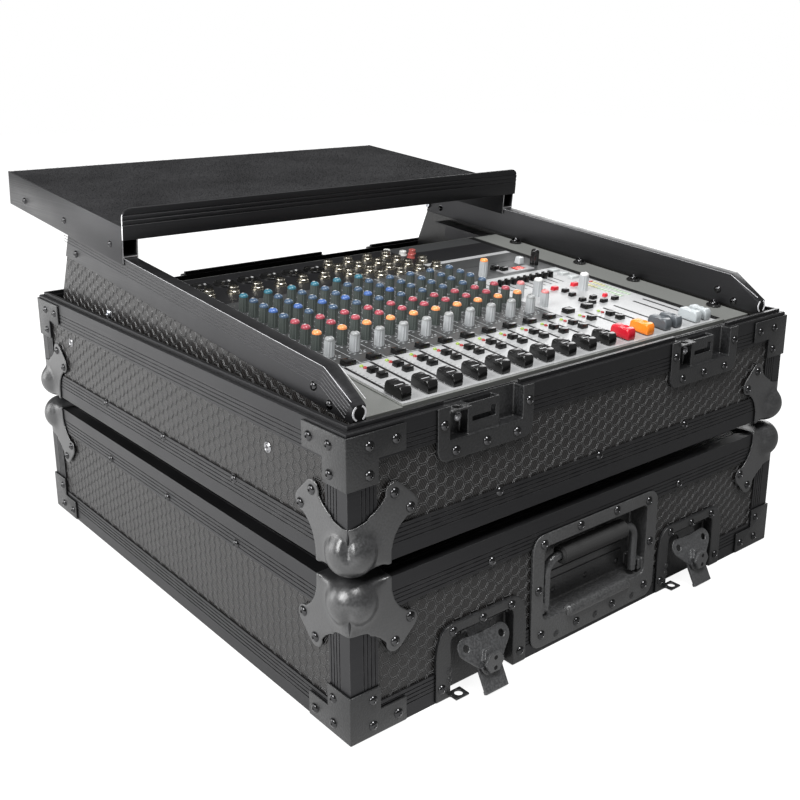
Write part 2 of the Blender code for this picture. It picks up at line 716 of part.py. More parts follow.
def build_latch(tag, centre, back):
    """Build one latch: dish, hook and butterfly wing."""
    half = DISH_HALF_WIDTH
    flat_top = half - DISH_ROUNDING[0]
    shoulder = DISH_TOP - DISH_ROUNDING[1]
    outline = [(-half, DISH_LIFT), (half, DISH_LIFT), (half, shoulder)]
    outline += bend_curve((half, shoulder), (half, DISH_TOP), (flat_top, DISH_TOP), 6)
    outline += [(flat_top, DISH_TOP), (-flat_top, DISH_TOP)]
    outline += bend_curve((-flat_top, DISH_TOP), (-half, DISH_TOP), (-half, shoulder), 6)
    outline += [(-half, shoulder)]
    dish = flange("latch_dish_" + tag, outline, RIM_LEG, LID_HEIGHT - EDGE_LEG)
    pan = POCKET_HALF_WIDTH + PAN_WALL
    join(dish, box("pan", (-pan, -GAP - 0.5 * MM, DISH_LIFT),
                   (pan, PAN_DEPTH, POCKET_TOP + PAN_WALL)))
    pocket = rounded_rectangle((-POCKET_HALF_WIDTH, -40 * MM), (POCKET_HALF_WIDTH, POCKET_TOP),
                               POCKET_CORNER)
    cut(dish, prism("pocket", pocket, "Y", -5 * MM, POCKET_DEPTH))
    half_pin = POCKET_HALF_WIDTH + 0.5 * MM
    pin = cylinder("pin", (-half_pin, LATCH_PIVOT_Y, LATCH_PIVOT_Z),
                   (half_pin, LATCH_PIVOT_Y, LATCH_PIVOT_Z), LATCH_PIN_RADIUS, 10)
    eye_x = -POCKET_HALF_WIDTH + 7.5 * MM
    eye = box("eye", (-POCKET_HALF_WIDTH - 0.5 * MM, -9 * MM, 1 * MM),
              (eye_x + 6.5 * MM, 3 * MM, 2.6 * MM))
    cut(eye, cylinder("hole", (eye_x, -3 * MM, -5 * MM), (eye_x, -3 * MM, 8 * MM), 3.6 * MM, 12))
    join(dish, pin, eye)
    finish(stand(dish, centre, back), STEEL_BLACK)

    pivot = Vector((0, LATCH_PIVOT_Y, LATCH_PIVOT_Z))
    tip_z = LATCH_PIVOT_Z - HOOK_LENGTH
    hook = box("latch_hook_" + tag, (-HOOK_HALF_WIDTH, HOOK_FRONT_Y, tip_z),
               (HOOK_HALF_WIDTH, HOOK_FRONT_Y + HOOK_THICKNESS, LATCH_PIVOT_Z))
    lip = box("lip", (-HOOK_HALF_WIDTH, HOOK_FRONT_Y, tip_z),
              (HOOK_HALF_WIDTH, POCKET_DEPTH - 2 * GAP, tip_z + HOOK_LIP))
    half = HOOK_HALF_WIDTH + 5 * MM
    barrel = cylinder("barrel", pivot - Vector((half, 0, 0)), pivot + Vector((half, 0, 0)),
                      BARREL_RADIUS, 12)
    join(hook, lip, barrel)
    wing_z = LATCH_PIVOT_Z - WING_CENTRE_DROP
    bore = cylinder("bore", pivot - Vector((half + 1 * MM, 0, 0)),
                    pivot + Vector((half + 1 * MM, 0, 0)), LATCH_PIN_RADIUS + GAP, 10)
    stub_hole = cylinder("stub_hole", (0, 0, wing_z), (0, 12 * MM, wing_z), STUB_RADIUS + GAP, 16)
    cut(hook, bore, stub_hole)
    finish(hook, STEEL_BLACK)

    lobe_x, lobe_z = WING_LOBE
    outline = arc((0, 0), WING_FOOT_RADIUS, 220, 320, 6)
    outline += arc((lobe_x, lobe_z), WING_LOBE_RADIUS, -42, 100, 7)
    lobe_top = lobe_z + WING_LOBE_RADIUS
    outline += bend_curve((lobe_x, lobe_top), (0, 2 * WING_DIP - lobe_top),
                          (-lobe_x, lobe_top), 6)
    outline += arc((-lobe_x, lobe_z), WING_LOBE_RADIUS, 80, 222, 7)
    wing_back = HOOK_FRONT_Y - GAP
    wing_front = wing_back - WING_THICKNESS
    placed = [(x, z + wing_z) for x, z in outline]
    wing = prism("latch_wing_" + tag, placed, "Y", wing_front, wing_back)
    hexagon = [(x, z + wing_z) for x, z in arc((0, 0), BOSS_RADIUS, 0, 300, 5)]
    boss = prism("boss", hexagon, "Y", wing_front - BOSS_HEIGHT, wing_front + 0.5 * MM)
    stub = cylinder("stub", (0, wing_back - 0.5 * MM, wing_z),
                    (0, HOOK_FRONT_Y + HOOK_THICKNESS, wing_z), STUB_RADIUS, 16)
    join(wing, boss, stub)
    holes = []
    for sx in (-1, 1):
        spot = (sx * lobe_x, 0, wing_z + lobe_z)
        holes.append(cylinder("hole", (spot[0], -5 * MM, spot[2]), (spot[0], 12 * MM, spot[2]),
                              WING_HOLE_RADIUS, 12))
    cut(wing, *holes)
    finish(wing, STEEL_BLACK)

    # The hook hangs from its pin at the rest angle, and the wing rides on it.
    hook.data.transform(Matrix.Translation(-pivot))
    wing.data.transform(Matrix.Translation((0, 0, -wing_z)))
    wing.parent = hook
    wing.location = Vector((0, 0, wing_z)) - pivot
    hook.location = (centre, CASE_DEPTH - LATCH_PIVOT_Y if back else LATCH_PIVOT_Y, LATCH_PIVOT_Z)
    hook.rotation_euler = (-LATCH_REST_ANGLE, 0, math.pi if back else 0)


def build_catch(tag, centre, back):
    """Build one recessed catch plate on the tray's rim."""
    half = CATCH_HALF_WIDTH
    centre_x = half - CATCH_CORNER
    centre_z = TRAY_TOP - CATCH_HEIGHT + CATCH_CORNER
    outline = [(half, CATCH_TOP), (-half, CATCH_TOP)]
    outline += arc((-centre_x, centre_z), CATCH_CORNER, 180, 270, 4)
    outline += arc((centre_x, centre_z), CATCH_CORNER, 270, 360, 4)
    plate = flange("catch_plate_" + tag, outline, TRAY_BOTTOM + EDGE_LEG, TRAY_TOP - RIM_LEG)
    pan = CATCH_POCKET_HALF + PAN_WALL
    pocket_low = CATCH_POCKET_LOW
    join(plate, box("pan", (-pan, -GAP - 0.5 * MM, pocket_low - PAN_WALL),
                    (pan, PAN_DEPTH, CATCH_TOP)))
    cut(plate, box("pocket", (-CATCH_POCKET_HALF, -5 * MM, pocket_low),
                   (CATCH_POCKET_HALF, POCKET_DEPTH, TRAY_TOP + 5 * MM)))
    x0, x1 = STRIKE_SPAN
    strike_top = pocket_low + STRIKE_HEIGHT
    strike = box("strike", (x0, 0.2 * MM, pocket_low - 0.5 * MM),
                 (x1, POCKET_DEPTH + 0.5 * MM, strike_top))
    hollow = box("hollow", (x0 + PAN_WALL, 0.2 * MM + PAN_WALL, pocket_low + 1 * MM),
                 (x1 - PAN_WALL, POCKET_DEPTH - 0.5 * MM, strike_top + 1 * MM))
    slot_z = pocket_low + 9 * MM
    slot = box("slot", (x0 + 5 * MM, -1 * MM, slot_z), (x1 - 4 * MM, 3 * MM, slot_z + 4 * MM))
    slot_end = box("slot_end", (x1 - 9 * MM, -1 * MM, slot_z + 3 * MM),
                   (x1 - 4 * MM, 3 * MM, slot_z + 9 * MM))
    cut(strike, hollow, slot, slot_end)
    eye = box("eye", (-CATCH_POCKET_HALF - 0.5 * MM, -4 * MM, strike_top - 2 * MM),
              (x0 + 0.5 * MM, POCKET_DEPTH + 0.5 * MM, strike_top - 0.4 * MM))
    middle = (x0 - CATCH_POCKET_HALF) / 2
    cut(eye, cylinder("hole", (middle, 2.4 * MM, 0), (middle, 2.4 * MM, 1), EYE_HOLE_RADIUS, 12))
    join(plate, strike, eye)
    finish(stand(plate, centre, back), STEEL_BLACK)


def build_handle():
    """Build the recessed spring handle: dish, bail and grip."""
    outline = rounded_rectangle((-HANDLE_HALF_WIDTH, HANDLE_BOTTOM),
                                (HANDLE_HALF_WIDTH, HANDLE_TOP), HANDLE_CORNER)
    dish = flange("handle_dish", outline, RIM_LEG, LID_HEIGHT - EDGE_LEG)
    pan = HANDLE_POCKET_HALF + PAN_WALL
    depth = HANDLE_POCKET_DEPTH
    join(dish, box("pan", (-pan, -GAP - 0.5 * MM, HANDLE_POCKET_BOTTOM - PAN_WALL),
                   (pan, depth + PAN_WALL, HANDLE_POCKET_TOP + PAN_WALL)))
    pocket = rounded_rectangle((-HANDLE_POCKET_HALF, HANDLE_POCKET_BOTTOM),
                               (HANDLE_POCKET_HALF, HANDLE_POCKET_TOP), 6 * MM)
    cut(dish, prism("pocket", pocket, "Y", -5 * MM, depth))
    lugs = []
    holes = []
    lug_y = BAIL_PIVOT_Y
    for sx in (-1, 1):
        inner = sx * (BAIL_HALF_SPAN + BAIL_ROD_RADIUS + GAP)
        outer = sx * (HANDLE_POCKET_HALF + 0.5 * MM)
        x0, x1 = sorted((inner, outer))
        lugs.append(box("lug", (x0, lug_y - 4.2 * MM, BAIL_PIVOT_Z - 5 * MM),
                        (x1, depth + 0.5 * MM, BAIL_PIVOT_Z + 5 * MM)))
        open_end = inner - sx * 1 * MM
        blind_end = sx * HANDLE_POCKET_HALF
        holes.append(cylinder("hole", (open_end, lug_y, BAIL_PIVOT_Z),
                              (blind_end, lug_y, BAIL_PIVOT_Z), BAIL_PIN_RADIUS + GAP, 12))
    join(dish, *lugs)
    cut(dish, *holes)
    finish(dish, STEEL_BLACK)

    path = [(-BAIL_HALF_SPAN, 0.0)]
    path += arc((-BAIL_HALF_SPAN + BAIL_BEND, BAIL_REACH - BAIL_BEND), BAIL_BEND, 180, 90, 5)
    path += arc((BAIL_HALF_SPAN - BAIL_BEND, BAIL_REACH - BAIL_BEND), BAIL_BEND, 90, 0, 5)
    path += [(BAIL_HALF_SPAN, 0.0)]
    bm = bmesh.new()
    sides = 12
    rows = []
    for i, (x, z) in enumerate(path):
        before = Vector(path[max(i - 1, 0)])
        after = Vector(path[min(i + 1, len(path) - 1)])
        along = (after - before).normalized()
        across = Vector((-along.y, along.x))
        row = []
        for k in range(sides):
            angle = 2 * math.pi * k / sides
            out = across * math.cos(angle) * BAIL_ROD_RADIUS
            row.append(bm.verts.new((x + out.x, math.sin(angle) * BAIL_ROD_RADIUS, z + out.y)))
        rows.append(row)
    for here, following in zip(rows, rows[1:]):
        for k in range(sides):
            m = (k + 1) % sides
            bm.faces.new((here[k], here[m], following[m], following[k]))
    bm.faces.new(rows[0])
    bm.faces.new(rows[-1])
    bail = new_object("handle_bail", bm)
    feet = []
    for sx in (-1, 1):
        x = sx * BAIL_HALF_SPAN
        stud_end = sx * (HANDLE_POCKET_HALF - 2 * MM)
        feet.append(cylinder("foot", (x, 0, -4.5 * MM), (x, 0, 3 * MM), BAIL_ROD_RADIUS * 0.92, 12))
        feet.append(cylinder("stud", (x, 0, 0), (stud_end, 0, 0), BAIL_PIN_RADIUS, 12))
    join(bail, *feet)
    bail.location = (0, BAIL_PIVOT_Y, BAIL_PIVOT_Z)
    finish(bail, STEEL_BLACK)

    grip = cylinder("handle_grip", (-GRIP_HALF_LENGTH, 0, 0), (GRIP_HALF_LENGTH, 0, 0),
                    GRIP_RADIUS, 20)
    bm = bmesh.new()
    bm.from_mesh(grip.data)
    rims = [e for e in bm.edges if abs(e.verts[0].co.x) > GRIP_HALF_LENGTH - GAP
            and abs(e.verts[1].co.x) > GRIP_HALF_LENGTH - GAP
            and e.verts[0].co.x * e.verts[1].co.x > 0]
    bmesh.ops.bevel(bm, geom=rims, offset=2 * MM, segments=2, affect="EDGES", clamp_overlap=True)
    bm.to_mesh(grip.data)
    bm.free()
    cut(grip, cylinder("bore", (-GRIP_HALF_LENGTH - 1 * MM, 0, 0),
                       (GRIP_HALF_LENGTH + 1 * MM, 0, 0), BAIL_ROD_RADIUS + GAP, 16))
    grip.parent = bail
    grip.location = (0, 0, BAIL_REACH)
    finish(grip, RUBBER)


def on_slope(along, up):
    """Return the (y, z) point at a distance along and above the trim's top line."""
    spot = BEND + SLOPE_ALONG * along + SLOPE_UP * up
    return (spot.y, spot.z)


def along_at(y, up):
    """Return the distance along the slope at which a height's line reaches y."""
    return (y - BEND_Y + math.sin(SLOPE) * up) / math.cos(SLOPE)


def lines_meet(a, b, c, d):
    """Return where line ab meets line cd, in 2-D."""
    a, b, c, d = (Vector(p) for p in (a, b, c, d))
    r = b - a
    s = d - c
    t = ((c.x - a.x) * s.y - (c.y - a.y) * s.x) / (r.x * s.y - r.y * s.x)
    return tuple(a + r * t)


def trim_outline(drop, depth, overrun=0.0):
    """Return the side trim's outline, lowered from its top line.

    Args:
        drop: distance below the top line where the outline starts.
        depth: distance below the top line where it ends.
        overrun: how far it runs past both ends of the trim.
    """
    nose = Vector((NOSE_Y, NOSE_Z))
    bend = Vector((BEND_Y, BEND_Z))
    steep = (bend - nose).normalized()
    inward = Vector((steep.y, -steep.x))
    rear = (RACK_TOP_Y + overrun, on_slope(along_at(RACK_TOP_Y, 0), 0)[1])
    rim = (RACK_REAR_Y + overrun, RACK_REAR_Z)
    front = ((NOSE_Y - overrun, 0.0), (NOSE_Y - overrun, 1.0))
    low_steep = nose + inward * drop
    far_steep = low_steep + steep
    top = (on_slope(0.0, -drop), on_slope(0.4, -drop))
    foot = (on_slope(0.0, -depth), on_slope(0.4, -depth))
    return [lines_meet(low_steep, far_steep, *front), lines_meet(*top, low_steep, far_steep),
            lines_meet(*top, rear, rim), lines_meet(*foot, rear, rim), lines_meet(*foot, *front)]


def build_rack():
    """Build the slanted side panels, their trims and the rack rails."""
    floor = TRAY_BOTTOM + WALL_INNER + GAP
    side_gap = TRIM_WALL + GAP
    upper = trim_outline(side_gap, TRIM_LEG)[:3]
    rear_top = upper[2]
    outline = [(NOSE_Y, floor), upper[0], upper[1], rear_top, (RACK_REAR_Y, RACK_REAR_Z)]
    outline += [(RACK_FOOT_Y, RACK_REAR_Z - RACK_REAR_DROP), (RACK_FOOT_Y, floor)]
    flange_top = -EAR_DROP - EAR_THICKNESS - GAP
    for side, sx in (("left", -1), ("right", 1)):
        def span(a, b):
            return sorted((sx * (HALF_WIDTH - a), sx * (HALF_WIDTH - b)))

        x0, x1 = span(TRIM_INSET + side_gap, TRIM_INNER - side_gap)
        finish(prism("rack_side_" + side, outline, "X", x0, x1), LAMINATE)

        x0, x1 = span(TRIM_INSET, TRIM_INNER)
        trim = prism("side_trim_" + side, trim_outline(0.0, TRIM_LEG), "X", x0, x1)
        cut(trim, prism("hollow", trim_outline(TRIM_WALL, TRIM_LEG + 10 * MM, 5 * MM), "X",
                        x0 + TRIM_WALL, x1 - TRIM_WALL))
        finish(trim, ALUMINIUM_BLACK, 25)

        inner = TRIM_INNER - side_gap + GAP
        start = along_at(RAIL_FRONT_Y, flange_top)
        end = start + RAIL_LENGTH
        t = RAIL_THICKNESS
        flat = [on_slope(start, flange_top), on_slope(end, flange_top)]
        flat += [on_slope(end, flange_top - t), on_slope(start, flange_top - t)]
        x0, x1 = span(inner, inner + RAIL_FLANGE)
        rail = prism("rack_rail_" + side, flat, "X", x0, x1)
        upright = [on_slope(start, flange_top), on_slope(end, flange_top)]
        web_foot = flange_top - RAIL_WEB_HEIGHT
        upright += [on_slope(end, web_foot), on_slope(start, web_foot)]
        x0, x1 = span(inner, inner + t)
        join(rail, prism("web", upright, "X", x0, x1))
        mixer_start = along_at(MIXER_FRONT_Y, -EAR_DROP)
        holes = []
        for hole in RACK_HOLES:
            spot = BEND + SLOPE_ALONG * (mixer_start + hole) + SLOPE_UP * flange_top
            spot.x = sx * RACK_HOLE_X
            holes.append(cylinder("hole", spot - SLOPE_UP * 8 * MM, spot + SLOPE_UP * 3 * MM,
                                  RACK_HOLE_RADIUS * 0.8, 12))
        cut(rail, *holes)
        finish(rail, STEEL_BLACK)


def slope_prism(name, outline, x0, x1):
    """Extrude an outline given along and above the slope over x0 to x1."""
    return prism(name, [on_slope(a, u) for a, u in outline], "X", x0, x1)


def slope_bar(name, profile, start, end):
    """Extrude a profile of (x, height above the trim) along the slope."""
    bm = bmesh.new()
    rows = []
    for along in (start, end):
        row = []
        for x, up in profile:
            y, z = on_slope(along, up)
            row.append(bm.verts.new((x, y, z)))
        rows.append(row)
    bm.faces.new(rows[0])
    bm.faces.new(list(reversed(rows[1])))
    count = len(profile)
    for i in range(count):
        j = (i + 1) % count
        bm.faces.new((rows[0][j], rows[0][i], rows[1][i], rows[1][j]))
    return new_object(name, bm)


def build_shelf():
    """Build the sliding laptop shelf: board, side rails and front lip."""
    start = along_at(SHELF_FRONT_Y, 0)
    end = start + SHELF_LENGTH
    wall = SHELF_RAIL_WALL
    rail_inset = TRIM_INSET - GAP - wall
    inner = TRIM_INNER + GAP
    board_low = SHELF_BOARD_LIFT
    board_high = SHELF_BOARD_LIFT + SHELF_BOARD_THICKNESS
    x = HALF_WIDTH - rail_inset - wall - GAP
    board = slope_prism("shelf_board", [(start, board_low), (end, board_low), (end, board_high),
                                        (start, board_high)], -x, x)
    finish(board, CARPET)
    for side, sx in (("left", -1), ("right", 1)):
        low_seat = board_low - GAP - wall
        profile = [(rail_inset, -SHELF_RAIL_DROP), (rail_inset + wall, -SHELF_RAIL_DROP)]
        profile += [(rail_inset + wall, GAP), (inner, GAP), (inner, -SHELF_RAIL_DROP)]
        profile += [(inner + wall, -SHELF_RAIL_DROP), (inner + wall, low_seat)]
        seat_edge = inner + SHELF_RAIL_FLANGE
        profile += [(seat_edge, low_seat), (seat_edge, board_low - GAP)]
        profile += [(inner, board_low - GAP), (inner, GAP + wall), (rail_inset + wall, GAP + wall)]
        profile += [(rail_inset + wall, SHELF_RAIL_RISE), (rail_inset, SHELF_RAIL_RISE)]
        placed = [(sx * (HALF_WIDTH - inset), up) for inset, up in profile]
        rail = slope_bar("shelf_rail_" + side, placed, start, end)
        finish(rail, ALUMINIUM_BLACK, 25)

    lip_x = HALF_WIDTH - rail_inset
    height = LIP_TOP - LIP_BOTTOM
    face = [(-lip_x, 0.0), (lip_x, 0.0)]
    face += arc((lip_x - LIP_CORNER, height - LIP_CORNER), LIP_CORNER, 0, 90, 5)
    face += arc((-lip_x + LIP_CORNER, height - LIP_CORNER), LIP_CORNER, 90, 180, 5)
    lip = prism("shelf_front_lip", face, "Y", -LIP_THICKNESS - GAP, -GAP)
    grooves = []
    for low in LIP_GROOVES:
        face_y = -LIP_THICKNESS - GAP
        grooves.append(box("groove", (-lip_x - 1 * MM, face_y - 1 * MM, low),
                           (lip_x + 1 * MM, face_y + GROOVE_DEPTH, low + GROOVE_WIDTH)))
    cut(lip, *grooves)
    base = on_slope(start, LIP_BOTTOM)
    lip.data.transform(Matrix.Translation((0, base[0], base[1])) @ Matrix.Rotation(SLOPE, 4, "X"))
    finish(lip, ALUMINIUM_BLACK)


def build_mixer():
    """Build the rack mixer's case with its two rack ears as one lift-out body."""
    start = along_at(MIXER_FRONT_Y, -EAR_DROP)
    end = start + MIXER_LENGTH
    half = RACK_WIDTH / 2
    foot = -EAR_DROP - EAR_THICKNESS
    plate = slope_prism("rack_mixer", [(start, foot), (end, foot), (end, -EAR_DROP),
                                       (start, -EAR_DROP)], -half, half)
    top = -EAR_DROP + MIXER_PANEL_RISE
    low = -EAR_DROP - MIXER_BODY_DEPTH
    outline = [(start, top), (start, low + MIXER_NOSE_RISE), (start + MIXER_NOSE_RUN, low)]
    outline += [(end, low), (end, top)]
    join(plate, slope_prism("body", outline, -MIXER_HALF, MIXER_HALF))
    wall = MIXER_WALL
    inside = [(start + wall, top - wall), (start + wall, low - wall)]
    inside += [(end - wall, low - wall), (end - wall, top - wall)]
    cut(plate, slope_prism("inside", inside, -MIXER_HALF + wall, MIXER_HALF - wall))
    holes = []
    for sx in (-1, 1):
        for hole in RACK_HOLES:
            spot = BEND + SLOPE_ALONG * (start + hole) - SLOPE_UP * EAR_DROP
            spot.x = sx * RACK_HOLE_X
            holes.append(cylinder("hole", spot - SLOPE_UP * 5 * MM, spot + SLOPE_UP * 5 * MM,
                                  RACK_HOLE_RADIUS, 12))
    cut(plate, *holes)
    finish(plate, MIXER_PAINT)


def centre_model():
    """Hang every piece on one empty and centre the model in X and Y."""
    bpy.context.view_layer.update()
    low = Vector((1e9, 1e9, 1e9))
    high = -low
    for obj in bpy.data.objects:
        if obj.type != "MESH":
            continue
        for vert in obj.data.vertices:
            spot = obj.matrix_world @ vert.co
            low = Vector([min(a, b) for a, b in zip(low, spot)])
            high = Vector([max(a, b) for a, b in zip(high, spot)])
    root = bpy.data.objects.new("case_origin", None)
    bpy.context.scene.collection.objects.link(root)
    root.location = (-(low.x + high.x) / 2, -(low.y + high.y) / 2, -low.z)
    for obj in bpy.data.objects:
        if obj.type == "MESH" and obj.parent is None:
            obj.parent = root
    print("box low", [round(v * 1000, 2) for v in low], "high", [round(v * 1000, 2) for v in high])
    print("origin shift in Y", round(root.location.y * 1000, 3), "mm")


def main():
    """Build the whole case."""
    clear_scene()
    build_frames()
    build_panels()
    build_corners()
    for tag, centre, back in (("fl", LATCH_CENTRES[0], 0), ("fr", LATCH_CENTRES[1], 0),
                              ("bl", LATCH_CENTRES[0], 1), ("br", LATCH_CENTRES[1], 1)):
        build_latch(tag, centre, back)
        build_catch(tag, centre, back)
    build_handle()
    build_rack()
    build_shelf()
    build_mixer()
    centre_model()


main()
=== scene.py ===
"""Looks of the slant mixer flight case.

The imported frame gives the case, its latches, its shelf and the mixer's housing. This script
dresses those pieces and adds what they leave out: rivets and screws, the honeycomb relief of
the laminate, the pile of the carpet, the mixer's panels with every control on them, the
floor, the lights and the camera. Lengths are in millimetres until a point is placed.
"""
import json
import logging
import math
from dataclasses import dataclass, field
from enum import Enum
from typing import Iterable, Sequence

import bmesh
import bpy
from mathutils import Matrix, Vector
from mathutils.bvhtree import BVHTree


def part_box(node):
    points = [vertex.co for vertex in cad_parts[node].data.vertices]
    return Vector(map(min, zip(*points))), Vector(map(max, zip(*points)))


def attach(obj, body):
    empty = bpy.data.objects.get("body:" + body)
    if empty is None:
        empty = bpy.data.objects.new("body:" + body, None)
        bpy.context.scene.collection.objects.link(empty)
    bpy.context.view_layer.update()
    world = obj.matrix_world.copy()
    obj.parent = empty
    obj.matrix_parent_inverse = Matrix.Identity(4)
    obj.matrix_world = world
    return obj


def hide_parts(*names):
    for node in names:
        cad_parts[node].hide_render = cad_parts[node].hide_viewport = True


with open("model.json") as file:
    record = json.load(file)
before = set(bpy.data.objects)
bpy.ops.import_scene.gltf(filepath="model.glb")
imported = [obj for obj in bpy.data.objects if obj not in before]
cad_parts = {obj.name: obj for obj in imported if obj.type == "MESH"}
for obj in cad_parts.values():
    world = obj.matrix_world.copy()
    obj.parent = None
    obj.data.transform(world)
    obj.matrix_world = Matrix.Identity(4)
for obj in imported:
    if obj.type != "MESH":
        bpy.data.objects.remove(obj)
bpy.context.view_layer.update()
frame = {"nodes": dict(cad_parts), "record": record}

MM = 0.001
UP = Vector((0.0, 0.0, 1.0))
ALONG_X = Vector((1.0, 0.0, 0.0))
ALONG_Y = Vector((0.0, 1.0, 0.0))
HEX = math.sqrt(3) / 2
WHITE = (1.0, 1.0, 1.0)
Socket = bpy.types.NodeSocket
Point = tuple[float, float]
Triple = tuple[float, float, float]
Colour = Triple
log = logging.getLogger("case")


# Node trees

class Graph:
    """Adds nodes to one tree and links them."""

    def __init__(self, tree: bpy.types.NodeTree) -> None:
        """Keep the tree that the nodes go into."""
        self.tree = tree

    def add(self, kind: str, inputs: dict | None = None, **settings: object) -> bpy.types.Node:
        """Add one node.

        Args:
            kind: Blender's name for the node type.
            inputs: a value or a socket for each input, by name or number.
            **settings: the node's own properties.

        Returns:
            The new node.
        """
        node = self.tree.nodes.new(kind)
        for key, value in settings.items():
            setattr(node, key, value)
        for key, value in (inputs or {}).items():
            self.feed(node.inputs[key], value)
        return node

    def feed(self, socket: Socket, value: object) -> None:
        """Link a socket into another, or set its value."""
        if isinstance(value, Socket):
            self.tree.links.new(value, socket)
        else:
            socket.default_value = value

    def math(self, operation: str, *values: object, clamp: bool = False) -> Socket:
        """Add a Math node.

        Args:
            operation: the node's operation.
            *values: up to three inputs.
            clamp: True to keep the result between 0 and 1.

        Returns:
            The result's socket.
        """
        node = self.add("ShaderNodeMath", dict(enumerate(values)), operation=operation)
        node.use_clamp = clamp
        return node.outputs[0]

    def vector(self, operation: str, *values: object, **named: object) -> bpy.types.Node:
        """Add a Vector Math node.

        Args:
            operation: the node's operation.
            *values: its inputs in order.
            **named: inputs by name, such as Scale.

        Returns:
            The node.
        """
        inputs = dict(enumerate(values)) | named
        return self.add("ShaderNodeVectorMath", inputs, operation=operation)

    def scaled(self, vector: object, factor: object) -> Socket:
        """Return a vector times a number."""
        return self.vector("SCALE", vector, Scale=factor).outputs[0]

    def plus(self, first: object, second: object) -> Socket:
        """Return the sum of two vectors."""
        return self.vector("ADD", first, second).outputs[0]

    def parts(self, vector: object) -> Sequence[Socket]:
        """Return the X, Y and Z of a vector."""
        return self.add("ShaderNodeSeparateXYZ", {0: vector}).outputs

    def noise(self, place: object, scale: object, detail: float, low: float, high: float,
              rough: float = 0.5) -> Socket:
        """Return noise, stretched so that the range from low to high fills 0 to 1."""
        made = self.add("ShaderNodeTexNoise", {"Vector": place, "Scale": scale, "Detail": detail,
                                               "Roughness": rough})
        return self.ramp(made.outputs[0], low, high)

    def ramp(self, value: object, low: float, high: float, start: float = 0.0,
             end: float = 1.0) -> Socket:
        """Stretch a value from one range to another and clamp it.

        Args:
            value: the socket to stretch.
            low: the value that becomes start.
            high: the value that becomes end.
            start: first value of the result.
            end: last value of the result.

        Returns:
            The result's socket.
        """
        inputs = {0: value, 1: low, 2: high, 3: start, 4: end}
        return self.add("ShaderNodeMapRange", inputs).outputs[0]

    def blend(self, factor: object, first: object, second: object, share: float = 1.0) -> Socket:
        """Mix two colours.

        Args:
            factor: 0 for the first, 1 for the second.
            first: a colour or a socket.
            second: a colour or a socket.
            share: what the factor is multiplied by.

        Returns:
            The mixed colour's socket.
        """
        if share != 1.0:
            factor = self.math("MULTIPLY", factor, share)
        inputs = {0: factor, 6: rgba(first), 7: rgba(second)}
        return self.add("ShaderNodeMix", inputs, data_type="RGBA").outputs[2]


def rgba(colour: object) -> object:
    """Return a colour with its alpha, or a socket as it is."""
    return colour if isinstance(colour, Socket) else (*colour, 1.0)


def times(colour: Colour, share: float) -> Colour:
    """Return a colour times a number."""
    return tuple(share * part for part in colour)


def new_tree(name: str, kind: str, inputs: Sequence[tuple[str, str, object]],
             outputs: Sequence[tuple[str, str]]) -> tuple[Graph, bpy.types.Node, bpy.types.Node]:
    """Start a node group with its named inputs and outputs.

    Args:
        name: name of the group.
        kind: "ShaderNodeTree" or "GeometryNodeTree".
        inputs: name, socket type and default value of each input.
        outputs: name and socket type of each output.

    Returns:
        The graph, the group's input node and its output node.
    """
    tree = bpy.data.node_groups.new(name, kind)
    for label, socket, default in inputs:
        made = tree.interface.new_socket(label, in_out="INPUT", socket_type="NodeSocket" + socket)
        if default is not None:
            made.default_value = default
    for label, socket in outputs:
        tree.interface.new_socket(label, in_out="OUTPUT", socket_type="NodeSocket" + socket)
    graph = Graph(tree)
    return graph, graph.add("NodeGroupInput"), graph.add("NodeGroupOutput")


